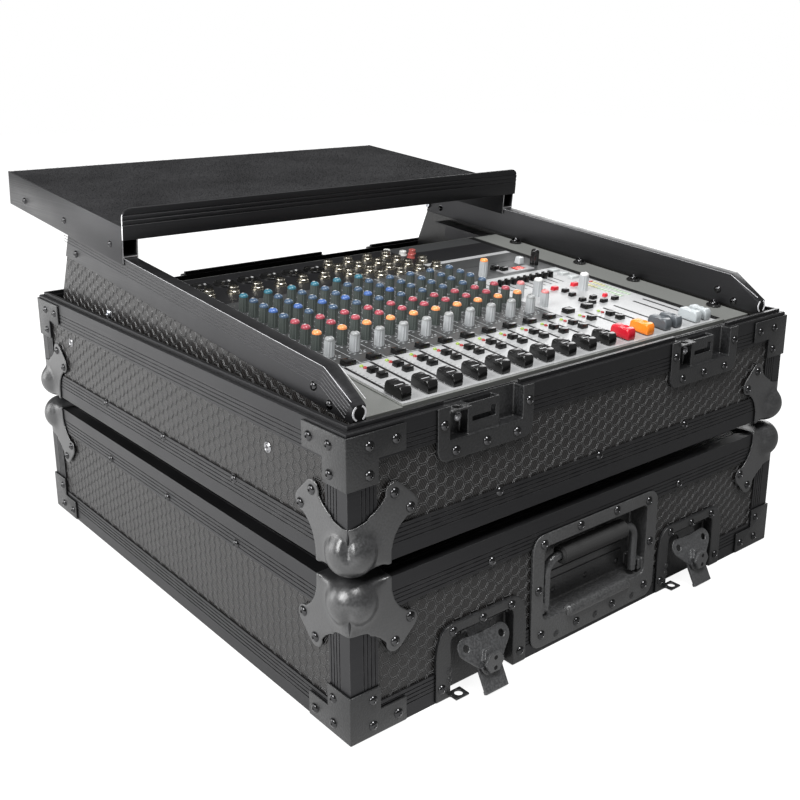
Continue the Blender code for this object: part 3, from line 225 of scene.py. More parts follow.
class Effect(Enum):
    """The shader groups that several finishes share."""

    GRAIN = "coating_grain"
    WEAR = "edge_wear"
    DUST = "settled_dust"
    DRAWN = "drawn_lines"
    HATCH = "slanting_hatch"

    def tree(self) -> bpy.types.NodeTree:
        """Return the group, built the first time it is asked for."""
        found = bpy.data.node_groups.get(self.value)
        if found is None:
            getattr(self, "_" + self.name.lower())()
            found = bpy.data.node_groups[self.value]
        return found

    def _grain(self) -> None:
        """Build the fine speckle and the broad clouds of a coated surface."""
        graph, source, sink = new_tree(self.value, "ShaderNodeTree",
                                       [("Vector", "Vector", None), ("Scale", "Float", 900.0)],
                                       [("Speckle", "Float"), ("Clouds", "Float")])
        place, scale = source.outputs["Vector"], source.outputs["Scale"]
        graph.feed(sink.inputs["Speckle"], graph.noise(place, scale, 2.0, 0.3, 0.7))
        graph.feed(sink.inputs["Clouds"], graph.noise(place, 14.0, 4.0, 0.32, 0.68, 0.6))

    def _wear(self) -> None:
        """Build the mask of lighter edges, from how far a rounded normal turns away: scuffed paint
        and painted highlight.
        """
        graph, source, sink = new_tree(self.value, "ShaderNodeTree",
                                       [("Vector", "Vector", None), ("Width", "Float", 0.0006)],
                                       [("Mask", "Float"), ("Normal", "Vector")])
        eased = graph.add("ShaderNodeBevel", {"Radius": source.outputs["Width"]},
                          samples=4).outputs[0]
        graph.feed(sink.inputs["Normal"], eased)
        flat = graph.add("ShaderNodeNewGeometry").outputs["Normal"]
        turn = graph.vector("DOT_PRODUCT", eased, flat).outputs["Value"]
        rubbed = graph.ramp(turn, 0.985, 0.86)
        broken = graph.noise(source.outputs["Vector"], 90.0, 5.0, 0.36, 0.62)
        graph.feed(sink.inputs["Mask"], graph.math("MULTIPLY", rubbed, broken, clamp=True))

    def _dust(self) -> None:
        """Build the mask of fine dust that lies on what faces upwards."""
        graph, source, sink = new_tree(self.value, "ShaderNodeTree", [("Vector", "Vector", None)],
                                       [("Mask", "Float")])
        normal = graph.add("ShaderNodeNewGeometry").outputs["Normal"]
        bright = graph.noise(source.outputs["Vector"], 1500.0, 1.0, 0.66, 0.76)
        clouds = graph.noise(source.outputs["Vector"], 22.0, 4.0, 0.35, 0.7)
        facing = graph.ramp(graph.parts(normal)[2], -0.2, 0.9, 0.25, 1.0)
        amount = graph.math("MULTIPLY", bright, clouds)
        graph.feed(sink.inputs["Mask"], graph.math("MULTIPLY", amount, facing, clamp=True))

    def _drawn(self) -> None:
        """Build the lines that a die leaves along drawn metal, level on a wall."""
        graph, source, sink = new_tree(self.value, "ShaderNodeTree",
                                       [("Vector", "Vector", None), ("Across", "Float", 2600.0)],
                                       [("Lines", "Float")])
        x, y, z = graph.parts(source.outputs["Vector"])
        stretched = {0: graph.math("MULTIPLY", x, 9.0), 1: graph.math("MULTIPLY", y, 9.0),
                     2: graph.math("MULTIPLY", z, source.outputs["Across"])}
        place = graph.add("ShaderNodeCombineXYZ", stretched).outputs[0]
        graph.feed(sink.inputs["Lines"], graph.noise(place, 1.0, 3.0, 0.3, 0.7))

    def _hatch(self) -> None:
        """Build the fine slanting lines that fill each honeycomb cell."""
        graph, source, sink = new_tree(self.value, "ShaderNodeTree",
                                       [("Vector", "Vector", None), ("Pitch", "Float", 0.0019)],
                                       [("Lines", "Float")])
        x, y, z = graph.parts(source.outputs["Vector"])
        slant = graph.math("MULTIPLY_ADD", graph.math("ADD", x, y), 0.87,
                           graph.math("MULTIPLY", z, 0.5))
        turns = graph.math("DIVIDE", slant, source.outputs["Pitch"])
        wave = graph.math("SINE", graph.math("MULTIPLY", turns, math.tau))
        graph.feed(sink.inputs["Lines"], graph.ramp(wave, 0.1, 0.7))


# Finishes

DUST_GREY = (0.35, 0.35, 0.34)


class Surface:
    """One Principled material while it is put together."""

    def __init__(self, name: str) -> None:
        """Start the material with its shader and its Object coordinates."""
        self.material = bpy.data.materials.new(name)
        self.material.use_nodes = True
        self.material.node_tree.nodes.clear()
        self.graph = Graph(self.material.node_tree)
        self.shader = self.graph.add("ShaderNodeBsdfPrincipled")
        self.graph.add("ShaderNodeOutputMaterial", {"Surface": self.shader.outputs[0]})
        self.place = self.graph.add("ShaderNodeTexCoord").outputs["Object"]

    def effect(self, effect: Effect, **inputs: object) -> bpy.types.Node:
        """Add a shared group, fed with the surface's coordinates.

        Args:
            effect: which group.
            **inputs: values for its other inputs.

        Returns:
            The group's node.
        """
        node = self.graph.add("ShaderNodeGroup", node_tree=effect.tree())
        for key, value in ({"Vector": self.place} | inputs).items():
            self.graph.feed(node.inputs[key], value)
        return node

    def set(self, **inputs: object) -> "Surface":
        """Set the shader's inputs, with _ for a space in a name.

        Args:
            **inputs: a value, a colour or a socket for each input.

        Returns:
            The surface itself.
        """
        for key, value in inputs.items():
            socket = self.shader.inputs[key.replace("_", " ")]
            self.graph.feed(socket, rgba(value) if socket.type == "RGBA" else value)
        return self

    def relief(self, height: object, depth: float, rounded: object = None) -> None:
        """Bump the surface.

        Args:
            height: socket that runs from 0 to 1.
            depth: the relief's depth in millimetres.
            rounded: socket of the normal that eases the sharp edges, if there is one.
        """
        bump = self.graph.add("ShaderNodeBump", {"Height": height, "Distance": depth * MM})
        if rounded is not None:
            self.graph.feed(bump.inputs["Normal"], rounded)
        self.set(Normal=bump.outputs[0])


@dataclass(frozen=True)
class Finish:
    """A named finish, made into one material the first time it is used."""

    name: str
    grain: float = 1000.0

    def material(self) -> bpy.types.Material:
        """Return the finish's material."""
        found = bpy.data.materials.get(self.name)
        if found is None:
            surface = Surface(self.name)
            grain = surface.effect(Effect.GRAIN, Scale=self.grain).outputs
            self.build(surface, surface.graph, grain["Speckle"], grain["Clouds"])
            found = surface.material
        return found

    def build(self, surface: Surface, graph: Graph, speckle: Socket, clouds: Socket) -> None:
        """Put the material together.

        Args:
            surface: the new material.
            graph: its node tree.
            speckle: fine grain, from 0 to 1.
            clouds: broad patches, from 0 to 1.
        """
        raise NotImplementedError


@dataclass(frozen=True)
class PowderCoat(Finish):
    """Satin powder coat on steel, lighter at the edges: partly scuffed paint, partly a painted
    highlight.
    """

    colour: Colour = (0.016, 0.0163, 0.0172)
    rubbed: Colour = (0.13, 0.13, 0.135)
    gloss: Point = (0.28, 0.44)
    grain: float = 560.0
    depth: float = 0.11
    edge: float = 0.45
    shine: float = 0.55

    def build(self, surface: Surface, graph: Graph, speckle: Socket, clouds: Socket) -> None:
        """Put the coat together."""
        worn_and_highlit = surface.effect(Effect.WEAR, Width=0.0006).outputs
        dust = surface.effect(Effect.DUST).outputs["Mask"]
        patches = graph.math("MULTIPLY", graph.ramp(speckle, 0.25, 0.75), clouds)
        body = graph.blend(patches, times(self.colour, 0.6), times(self.colour, 1.5))
        body = graph.blend(dust, body, DUST_GREY, 0.25)
        # Edges take a lighter colour: partly scuffed paint, partly a painted highlight where they
        # catch the light.
        body = graph.blend(worn_and_highlit["Mask"], body, self.rubbed, self.edge)
        surface.set(Base_Color=body, Metallic=0.0, Specular_IOR_Level=self.shine,
                    Roughness=graph.ramp(speckle, 0.0, 1.0, *self.gloss))
        surface.relief(speckle, self.depth, worn_and_highlit["Normal"])


@dataclass(frozen=True)
class Anodised(Finish):
    """Black anodised aluminium with drawn lines and bare cut ends."""

    colour: Colour = (0.034, 0.034, 0.036)
    bare: Colour = (0.86, 0.86, 0.87)
    gloss: Point = (0.30, 0.42)
    metal: float = 0.8
    cut_facing: Colour = (0.0, 0.0, 0.0)
    both_ends: bool = False
    edge: float = 0.45
    rubbed: Colour = (0.30, 0.30, 0.30)
    grain: float = 700.0

    def build(self, surface: Surface, graph: Graph, speckle: Socket, clouds: Socket) -> None:
        """Put the finish together."""
        lines = surface.effect(Effect.DRAWN).outputs["Lines"]
        wear_and_highlight = surface.effect(Effect.WEAR, Width=0.00035).outputs["Mask"]
        dust = surface.effect(Effect.DUST).outputs["Mask"]
        body = graph.blend(lines, times(self.colour, 0.8), self.colour)
        body = graph.blend(dust, body, DUST_GREY, 0.22)
        # Edges take a lighter colour: partly scuffed paint, partly a painted highlight where they
        # catch the light.
        body = graph.blend(wear_and_highlight, body, self.rubbed, self.edge)
        if any(self.cut_facing):
            normal = graph.add("ShaderNodeNewGeometry").outputs["True Normal"]
            turn = graph.vector("DOT_PRODUCT", normal, self.cut_facing).outputs["Value"]
            turn = graph.math("ABSOLUTE", turn) if self.both_ends else turn
            body = graph.blend(graph.ramp(turn, 0.97, 0.985), body, self.bare)
        rough = graph.math("MULTIPLY_ADD", clouds, 0.06, graph.ramp(lines, 0.0, 1.0, *self.gloss))
        surface.set(Base_Color=body, Metallic=self.metal, Roughness=rough)
        surface.relief(lines, 0.012)


@dataclass(frozen=True)
class Laminate(Finish):
    """Black laminate on the plywood, smooth between the cells or hatched on them."""

    colour: Colour = (0.013, 0.0125, 0.0120)
    hatched: bool = False
    gloss: Point = (0.24, 0.34)
    shine: float = 0.36
    rim: Colour = (0.09, 0.09, 0.091)
    smooth_depth: float = 0.02
    hatch_depth: float = 0.12
    grain: float = 1300.0

    def build(self, surface: Surface, graph: Graph, speckle: Socket, clouds: Socket) -> None:
        """Put the finish together."""
        dust = surface.effect(Effect.DUST).outputs["Mask"]
        body = graph.blend(clouds, times(self.colour, 0.7), self.colour)
        height, depth = speckle, self.smooth_depth
        if self.hatched:
            height, depth = surface.effect(Effect.HATCH).outputs["Lines"], self.hatch_depth
            body = graph.blend(height, body, times(self.colour, 2.4), 0.9)
            # The cells' sloped rims take the rim colour: a painted highlight where their bevels
            # catch the light.
            upright = graph.add("ShaderNodeTexCoord").outputs["Normal"]
            x, y, z = [graph.math("ABSOLUTE", part) for part in graph.parts(upright)]
            level = graph.math("MAXIMUM", graph.math("MAXIMUM", x, y), z)
            body = graph.blend(graph.ramp(level, 0.93, 0.99, 1.0, 0.0), body, self.rim)
        body = graph.blend(dust, body, (0.45, 0.43, 0.40), 0.45)
        surface.set(Base_Color=body, Specular_IOR_Level=self.shine,
                    Roughness=graph.ramp(height, 0.0, 1.0, *self.gloss))
        surface.relief(height, depth)


@dataclass(frozen=True)
class Carpet(Finish):
    """Black carpet skin: the felted ground, or one fibre of its pile."""

    colour: Colour = (0.014, 0.014, 0.015)
    light: Colour = (0.040, 0.040, 0.042)
    grain: float = 620.0

    def build(self, surface: Surface, graph: Graph, speckle: Socket, clouds: Socket) -> None:
        """Put the finish together."""
        tufts = graph.add("ShaderNodeTexVoronoi", {"Vector": surface.place, "Scale": 380.0})
        height = graph.math("MULTIPLY_ADD", speckle, 0.6,
                            graph.ramp(tufts.outputs["Distance"], 0.0, 0.8, 0.4, 0.0))
        body = graph.blend(graph.math("MULTIPLY", height, clouds), self.colour, self.light)
        surface.set(Base_Color=body, Roughness=0.95, Specular_IOR_Level=0.12)
        surface.relief(height, 0.5)


@dataclass(frozen=True)
class Moulded(Finish):
    """Moulded plastic or rubber of one colour."""

    colour: Colour = (0.02, 0.02, 0.02)
    rough: float = 0.35
    depth: float = 0.01
    glow: float = 0.0
    shine: float = 0.5
    grain: float = 1500.0

    def build(self, surface: Surface, graph: Graph, speckle: Socket, clouds: Socket) -> None:
        """Put the plastic together."""
        paler = tuple(min(1.0, 1.12 * part + 0.004) for part in self.colour)
        rough = graph.ramp(speckle, 0.0, 1.0, self.rough - 0.05, self.rough + 0.07)
        surface.set(Base_Color=graph.blend(clouds, times(self.colour, 0.86), paler),
                    Roughness=rough, Specular_IOR_Level=self.shine)
        if self.glow:
            surface.set(Emission_Color=self.colour, Emission_Strength=self.glow)
        surface.relief(speckle, self.depth)


@dataclass(frozen=True)
class Plated(Finish):
    """Bare, nickelled or zinced metal."""

    colour: Colour = (0.75, 0.74, 0.70)
    rough: float = 0.22
    grain: float = 1200.0

    def build(self, surface: Surface, graph: Graph, speckle: Socket, clouds: Socket) -> None:
        """Put the metal together."""
        rough = graph.ramp(speckle, 0.0, 1.0, self.rough, self.rough + 0.14)
        surface.set(Base_Color=graph.blend(clouds, times(self.colour, 0.7), self.colour),
                    Metallic=1.0, Roughness=rough)
        surface.relief(speckle, 0.008)


@dataclass(frozen=True)
class PanelPaint(Finish):
    """Fine metallic paint of the mixer's panels."""

    colour: Colour = (0.45, 0.46, 0.47)
    fleck: float = 0.25
    metal: float = 0.25
    rough: float = 0.38
    grain: float = 2200.0

    def build(self, surface: Surface, graph: Graph, speckle: Socket, clouds: Socket) -> None:
        """Put the paint together."""
        dark = times(self.colour, 1.0 - self.fleck)
        body = graph.blend(clouds, graph.blend(speckle, dark, self.colour), dark, 0.2)
        rough = graph.ramp(clouds, 0.0, 1.0, self.rough, self.rough + 0.08)
        surface.set(Base_Color=body, Metallic=self.metal, Roughness=rough)
        surface.relief(speckle, 0.012)


STEEL = PowderCoat("black_powder_coat")
# The latch, ball and handle coats are lighter copies of the black powder coat: painted sheen for
# the highlights their curved faces catch.
WING_STEEL = PowderCoat("latch_powder_coat", colour=(0.060, 0.061, 0.063), gloss=(0.28, 0.36),
                        shine=0.8)
BALL_STEEL = PowderCoat("ball_powder_coat", colour=(0.028, 0.0284, 0.0295), gloss=(0.30, 0.38),
                        shine=1.0, depth=0.05)
HANDLE_STEEL = PowderCoat("handle_powder_coat", colour=(0.050, 0.0505, 0.0515), gloss=(0.30, 0.44),
                          shine=0.8)
EXTRUSION = Anodised("black_anodised")
TRIM_METAL = Anodised("black_anodised_trim")
RAIL_METAL = Anodised("black_anodised_rail", cut_facing=(0.0, -0.9954, -0.0958))
LIP_METAL = Anodised("black_anodised_lip", cut_facing=(1.0, 0.0, 0.0), both_ends=True)
BOARD = Laminate("black_laminate")
CELLS = Laminate("honeycomb_cells", colour=(0.013, 0.0120, 0.0117), hatched=True)
CARPET = Carpet("black_carpet")
FIBRE = Carpet("carpet_fibre", colour=(0.006, 0.006, 0.0065), light=(0.020, 0.020, 0.021))
RUBBER = Moulded("black_rubber", colour=(0.050, 0.051, 0.053), rough=0.42, depth=0.03)
RIVET_BLACK = Plated("black_chrome", colour=(0.075, 0.075, 0.077), rough=0.09)
RIVET_DULL = PowderCoat("rivet_powder_coat", edge=0.2)
ZINC = Plated("zinc_plate", colour=(0.74, 0.76, 0.80), rough=0.25)
# Bare cut metal at the trims' noses; the same finish makes the bright strips along the trims' top
# edges, which are painted highlights.
BARE_METAL_AND_HIGHLIGHT = Moulded("sawn_edge", colour=(0.78, 0.78, 0.80), rough=0.25, depth=0.004)
# The trims' ridges are coloured lighter than the trim: a painted highlight along them.
RIDGE_HIGHLIGHT_METAL = Anodised("ridge_tops", colour=(0.16, 0.16, 0.165), metal=0.6)
GREY_METAL = Plated("grey_metal", colour=(0.34, 0.34, 0.35), rough=0.20)
NICKEL = Plated("nickel_plate", colour=(0.55, 0.52, 0.45), rough=0.20)
HOUSING = PanelPaint("housing_paint", colour=(0.20, 0.205, 0.195), fleck=0.15, metal=0.2,
                     rough=0.42)
SILVER_PANEL = PanelPaint("silver_panel", colour=(0.47, 0.475, 0.48), fleck=0.35, metal=0.15)
GREY_PANEL = PanelPaint("grey_panel", colour=(0.055, 0.057, 0.058), fleck=0.3, metal=0.2)
BLACK_PANEL = PanelPaint("black_panel", colour=(0.010, 0.010, 0.011), fleck=0.2, metal=0.0)
PRINT = Moulded("pale_print", colour=(0.42, 0.44, 0.45), rough=0.5, depth=0.0)
# Near-black for printed ticks, and as painted shade in slots, holes, grooves, dimples and hollows.
SHADE_AND_PRINT_BLACK = Moulded("slot_black", colour=(0.004, 0.004, 0.004), rough=0.6, shine=0.2)
KEY_BLACK = Moulded("key_black", colour=(0.006, 0.006, 0.006), rough=0.16)
KNOB_GREY = Moulded("knob_grey", colour=(0.075, 0.088, 0.082), rough=0.22)
KNOB_SILVER = Moulded("knob_silver", colour=(0.46, 0.48, 0.49), rough=0.30)


# Places

class Wall(Enum):
    """The four upright walls of the case, by the way they face."""

    FRONT = (0.0, -1.0)
    BACK = (0.0, 1.0)
    LEFT = (-1.0, 0.0)
    RIGHT = (1.0, 0.0)

    @property
    def facing(self) -> Vector:
        """The way the wall faces."""
        return Vector((*self.value, 0.0))

    @property
    def across(self) -> Vector:
        """To the right, for someone who looks at the wall from outside."""
        return UP.cross(self.facing)


@dataclass(frozen=True)
class Spot:
    """Where one stamp goes: its place, the way it faces and the way its side points."""

    place: Vector
    facing: Vector
    side: Vector
    size: float = 1.0


class Seat:
    """Finds where a part sits on the CAD pieces of one body."""

    def __init__(self, body: str) -> None:
        """Gather the faces of the body's pieces."""
        points: list[Vector] = []
        faces: list[tuple[int, ...]] = []
        for name in frame["record"]["behaviour"]["bodies"][body]:
            mesh = frame["nodes"][name].data
            start = len(points)
            points += [vert.co.copy() for vert in mesh.vertices]
            faces += [tuple(start + i for i in face.vertices) for face in mesh.polygons]
        self.tree = BVHTree.FromPolygons(points, faces)

    def drop(self, place: Vector, facing: Vector, side: Vector, size: float = 1.0,
             reach: float = 30.0) -> Spot:
        """Return the spot where a part sits, looking in from outside.

        Args:
            place: a point near the surface.
            facing: outwards from the surface.
            side: where the part's side points.
            size: scale of the stamp.
            reach: how far out the search starts, in millimetres.

        Returns:
            The spot on the surface.
        """
        start = place + facing * reach * MM
        hit = self.tree.ray_cast(start, -facing, 2 * reach * MM)[0]
        return Spot(hit if hit is not None else place, facing, side, size)

    def row(self, case: "CaseFrame", wall: Wall, points: Iterable[Point], size: float = 1.0,
            reach: float = 30.0) -> list[Spot]:
        """Return the spots of several parts on one wall.

        Args:
            case: the case's outline.
            wall: the wall that carries them.
            points: where they sit: across from the wall's middle, and above the floor.
            size: scale of the stamps.
            reach: how far out the search starts, in millimetres.

        Returns:
            The spots, in the same order.
        """
        return [self.drop(case.on(wall, across, z), wall.facing, wall.across, size, reach)
                for across, z in points]


@dataclass
class CaseFrame:
    """The case's outline, for placing parts in millimetres."""

    low: Vector = field(default_factory=lambda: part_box("lid_edge_frame")[0])
    high: Vector = field(default_factory=lambda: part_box("lid_edge_frame")[1])

    def at(self, x: float, y: float, z: float) -> Vector:
        """Return a point: x from the middle, y from the front face, z from the floor."""
        middle = (self.low.x + self.high.x) / 2
        return Vector((middle + x * MM, self.low.y + y * MM, z * MM))

    def half(self, wall: Wall) -> float:
        """Return half the length of a wall, in millimetres."""
        size = (self.high - self.low) / MM / 2
        return size.x if wall.value[0] == 0.0 else size.y

    def on(self, wall: Wall, across: float, z: float) -> Vector:
        """Return a point on a wall.

        Args:
            wall: which wall.
            across: millimetres to the right of the wall's middle, from outside.
            z: millimetres above the floor.

        Returns:
            The point on the wall's outer face.
        """
        middle = (self.low + self.high) / 2
        middle.z = z * MM
        size = (self.high - self.low) / 2
        depth = size.y if wall.value[0] == 0.0 else size.x
        return middle + wall.facing * depth + wall.across * across * MM


@dataclass
class Slope:
    """The sloping rack: its bend, its angle and where the mixer's front edge lies on it."""

    case: CaseFrame
    bend: Point = (46.0, 280.3)
    angle: float = 5.5
    mixer_front: float = 27.0
    panel_drop: float = 33.0

    def __post_init__(self) -> None:
        """Work out the directions and the start of the mixer."""
        turn = math.radians(self.angle)
        self.along = Vector((0.0, math.cos(turn), math.sin(turn)))
        self.up = Vector((0.0, -math.sin(turn), math.cos(turn)))
        run = self.mixer_front - self.bend[0] - math.sin(turn) * (self.panel_drop + 1.0)
        self.start = run / math.cos(turn)

    def at(self, x: float, v: float, lift: float = 0.0) -> Vector:
        """Return a point on the mixer's panel.

        Args:
            x: millimetres to the right of the case's middle.
            v: millimetres back from the mixer's front edge, along the slope.
            lift: millimetres above the panel.

        Returns:
            The point.
        """
        base = self.case.at(x, *self.bend)
        return base + (self.along * (self.start + v) + self.up * (lift - self.panel_drop)) * MM

    def spot(self, x: float, v: float, lift: float = 0.0, size: float = 1.0) -> Spot:
        """Return a spot on the panel that faces up out of it."""
        return Spot(self.at(x, v, lift), self.up, ALONG_X, size)


# Shapes

def settle(name: str, bm: bmesh.types.BMesh) -> bpy.types.Mesh:
    """Turn a bmesh into a mesh and free it."""
    mesh = bpy.data.meshes.new(name)
    bm.to_mesh(mesh)
    bm.free()
    return mesh


def evaluated(host: bpy.types.Object) -> bpy.types.Mesh:
    """Return a new mesh of an object as its modifiers make it."""
    depsgraph = bpy.context.evaluated_depsgraph_get()
    return bpy.data.meshes.new_from_object(host.evaluated_get(depsgraph), depsgraph=depsgraph)


def skin(bm: bmesh.types.BMesh,
         rings: Sequence[Sequence[bmesh.types.BMVert]]) -> list[bmesh.types.BMFace]:
    """Close the walls between rings of points and cap both ends; normals are set later.

    Args:
        bm: the mesh that takes the faces.
        rings: rings of equal length; one at an end may be a single point.

    Returns:
        The caps.
    """
    count = max(len(ring) for ring in rings)
    for low, high in zip(rings, rings[1:]):
        for i in range(count):
            j = (i + 1) % count
            corners = [low[i % len(low)], low[j % len(low)], high[j % len(high)],
                       high[i % len(high)]]
            bm.faces.new(list(dict.fromkeys(corners)))
    return [bm.faces.new(ring) for ring in (rings[0], rings[-1]) if len(ring) > 1]


class Shape:
    """Makes the small solids that the stamps repeat, in millimetres, facing +Z."""

    @staticmethod
    def finish(name: str, bm: bmesh.types.BMesh, angle: float = 32.0) -> bpy.types.Mesh:
        """Turn a bmesh into a mesh with outward faces and smooth shading.

        Args:
            name: name of the mesh.
            bm: the shape, in millimetres.
            angle: edges sharper than this many degrees stay sharp.

        Returns:
            The mesh, in metres.
        """
        bmesh.ops.recalc_face_normals(bm, faces=bm.faces)
        bmesh.ops.scale(bm, vec=(MM, MM, MM), verts=bm.verts)
        mesh = settle(name, bm)
        mesh.shade_smooth()
        mesh.set_sharp_from_angle(angle=math.radians(angle))
        return mesh

    @staticmethod
    def lathe(name: str, profile: Sequence[Point], sides: int = 20, ribs: float = 0.0,
              ribbed: Sequence[int] = ()) -> bpy.types.Mesh:
        """Turn a profile about +Z.

        Args:
            name: name of the mesh.
            profile: (radius, height) from the foot to the top; a radius of 0 is a pole.
            sides: number of steps around.
            ribs: how far every other step of a ribbed ring draws in.
            ribbed: numbers of the rings that carry ribs.

        Returns:
            The mesh.
        """
        bm = bmesh.new()
        rings: list[list[bmesh.types.BMVert]] = []
        for number, (radius, height) in enumerate(profile):
            if radius == 0.0:
                rings.append([bm.verts.new((0.0, 0.0, height))])
                continue
            ring = []
            for i in range(sides):
                turn = math.tau * i / sides
                reach = radius - (ribs if number in ribbed and i % 2 else 0.0)
                ring.append(bm.verts.new((reach * math.cos(turn), reach * math.sin(turn), height)))
            rings.append(ring)
        skin(bm, rings)
        return Shape.finish(name, bm)

    @staticmethod
    def block(name: str, size: Triple, bevel: float = 0.4, steps: int = 2,
              taper: float = 0.0, sink: float = 0.3) -> bpy.types.Mesh:
        """Make a bevelled block that stands on the panel.

        Args:
            name: name of the mesh.
            size: width, length and height.
            bevel: radius of the bevel.
            steps: segments of the bevel.
            taper: how far the top draws in on each side.
            sink: how far the foot goes into the panel.

        Returns:
            The mesh.
        """
        bm = bmesh.new()
        bmesh.ops.create_cube(bm, size=1.0)
        for vert in bm.verts:
            top = vert.co.z > 0
            pull = taper if top else 0.0
            vert.co.x = math.copysign(size[0] / 2 - pull, vert.co.x)
            vert.co.y = math.copysign(size[1] / 2 - pull, vert.co.y)
            vert.co.z = size[2] if top else -sink
        edges = [edge for edge in bm.edges if max(vert.co.z for vert in edge.verts) > 0]
        if bevel:
            bmesh.ops.bevel(bm, geom=edges, offset=bevel, segments=steps, affect="EDGES",
                            profile=0.5)
        return Shape.finish(name, bm)

    @staticmethod
    def profile_bar(name: str, outline: Sequence[Point], width: float,
                    bevel: float = 0.8, steps: int = 2) -> bpy.types.Mesh:
        """Draw an outline across X and round its rims.

        Args:
            name: name of the mesh.
            outline: (y, z) points of the side view.
            width: length along X.
            bevel: radius of the rounding of the two rims.
            steps: segments of the rounding.

        Returns:
            The mesh.
        """
        bm = bmesh.new()
        left, right = [[bm.verts.new((x, y, z)) for y, z in outline]
                       for x in (-width / 2, width / 2)]
        caps = [bm.faces.new(left), bm.faces.new(list(reversed(right)))]
        count = len(outline)
        for i in range(count):
            j = (i + 1) % count
            bm.faces.new((left[j], left[i], right[i], right[j]))
        if bevel:
            rims = {edge for cap in caps for edge in cap.edges
                    if max(vert.co.z for vert in edge.verts) > 0.2}
            bmesh.ops.bevel(bm, geom=list(rims), offset=bevel, segments=steps, affect="EDGES",
                            profile=0.5)
        return Shape.finish(name, bm, 40.0)

    @staticmethod
    def ring(name: str, inner: float, outer: float, height: float, start: float, sweep: float,
             steps: int) -> bpy.types.Mesh:
        """Make an arc of a flat ring.

        Args:
            name: name of the mesh.
            inner: inner radius.
            outer: outer radius.
            height: height above the panel.
            start: angle where the arc starts, in degrees.
            sweep: how far it runs.
            steps: number of steps along it.

        Returns:
            The mesh.
        """
        bm = bmesh.new()
        rows = []
        for i in range(steps + 1):
            turn = math.radians(start + sweep * i / steps)
            rows.append([bm.verts.new((r * math.cos(turn), r * math.sin(turn), z)) for r, z in
                         ((inner, -0.1), (outer, -0.1), (outer, height), (inner, height))])
        skin(bm, rows)
        return Shape.finish(name, bm)

    @staticmethod
    def rivet(name: str = "rivet", radius: float = 3.9, height: float = 2.2) -> bpy.types.Mesh:
        """Make a rivet's dome with the drill mark at its middle."""
        profile = [(radius + 0.55, -0.3), (radius + 0.5, 0.1), (radius, 0.12)]
        for turn in (25, 42, 57, 70):
            a = math.radians(turn)
            profile.append((radius * math.cos(a), 0.12 + (height - 0.12) * math.sin(a)))
        profile += [(0.3 * radius, 0.97 * height), (0.2 * radius, 0.6 * height),
                    (0.0, 0.5 * height)]
        return Shape.lathe(name, profile, 22)

    @staticmethod
    def screw_head(name: str, radius: float, height: float, slot: float = 0.5) -> bpy.types.Mesh:
        """Make a pan head with a cross recess.

        Args:
            name: name of the mesh.
            radius: radius of the head.
            height: height of the head.
            slot: half the width of the recess.

        Returns:
            The mesh.
        """
        bm = bmesh.new()
        arm = 0.62 * radius
        cross = []
        for quarter in range(4):
            turn = Matrix.Rotation(quarter * math.pi / 2, 2)
            cross += [turn @ Vector(p) for p in ((slot, slot), (slot, arm), (-slot, arm))]
        levels = []
        for scale, z in ((1.0, -0.3), (1.0, 0.3 * height), (0.86, 0.8 * height), (0.68, height)):
            levels.append([bm.verts.new((*(p.normalized() * scale * radius), z)) for p in cross])
        for scale, z in ((1.0, height), (0.7, height - 1.1)):
            levels.append([bm.verts.new((*(p * scale), z)) for p in cross])
        skin(bm, levels)
        return Shape.finish(name, bm, 40.0)


def hang(name: str, mesh: bpy.types.Mesh, body: str, slot: str,
         finish: Finish | None = None) -> bpy.types.Object:
    """Make a piece of a mesh and let it ride.

    Args:
        name: name of the piece.
        mesh: its finished mesh.
        body: the body that it rides on.
        slot: the record's material slot; not used.
        finish: its finish, if the mesh has none yet.

    Returns:
        The piece.
    """
    if finish:
        mesh.materials.clear()
        mesh.materials.append(finish.material())
    piece = bpy.data.objects.new(name, mesh)
    bpy.context.scene.collection.objects.link(piece)
    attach(piece, body)
    log.info("%s: %d faces on %s", name, len(mesh.polygons), body)
    return piece


# Geometry node trees

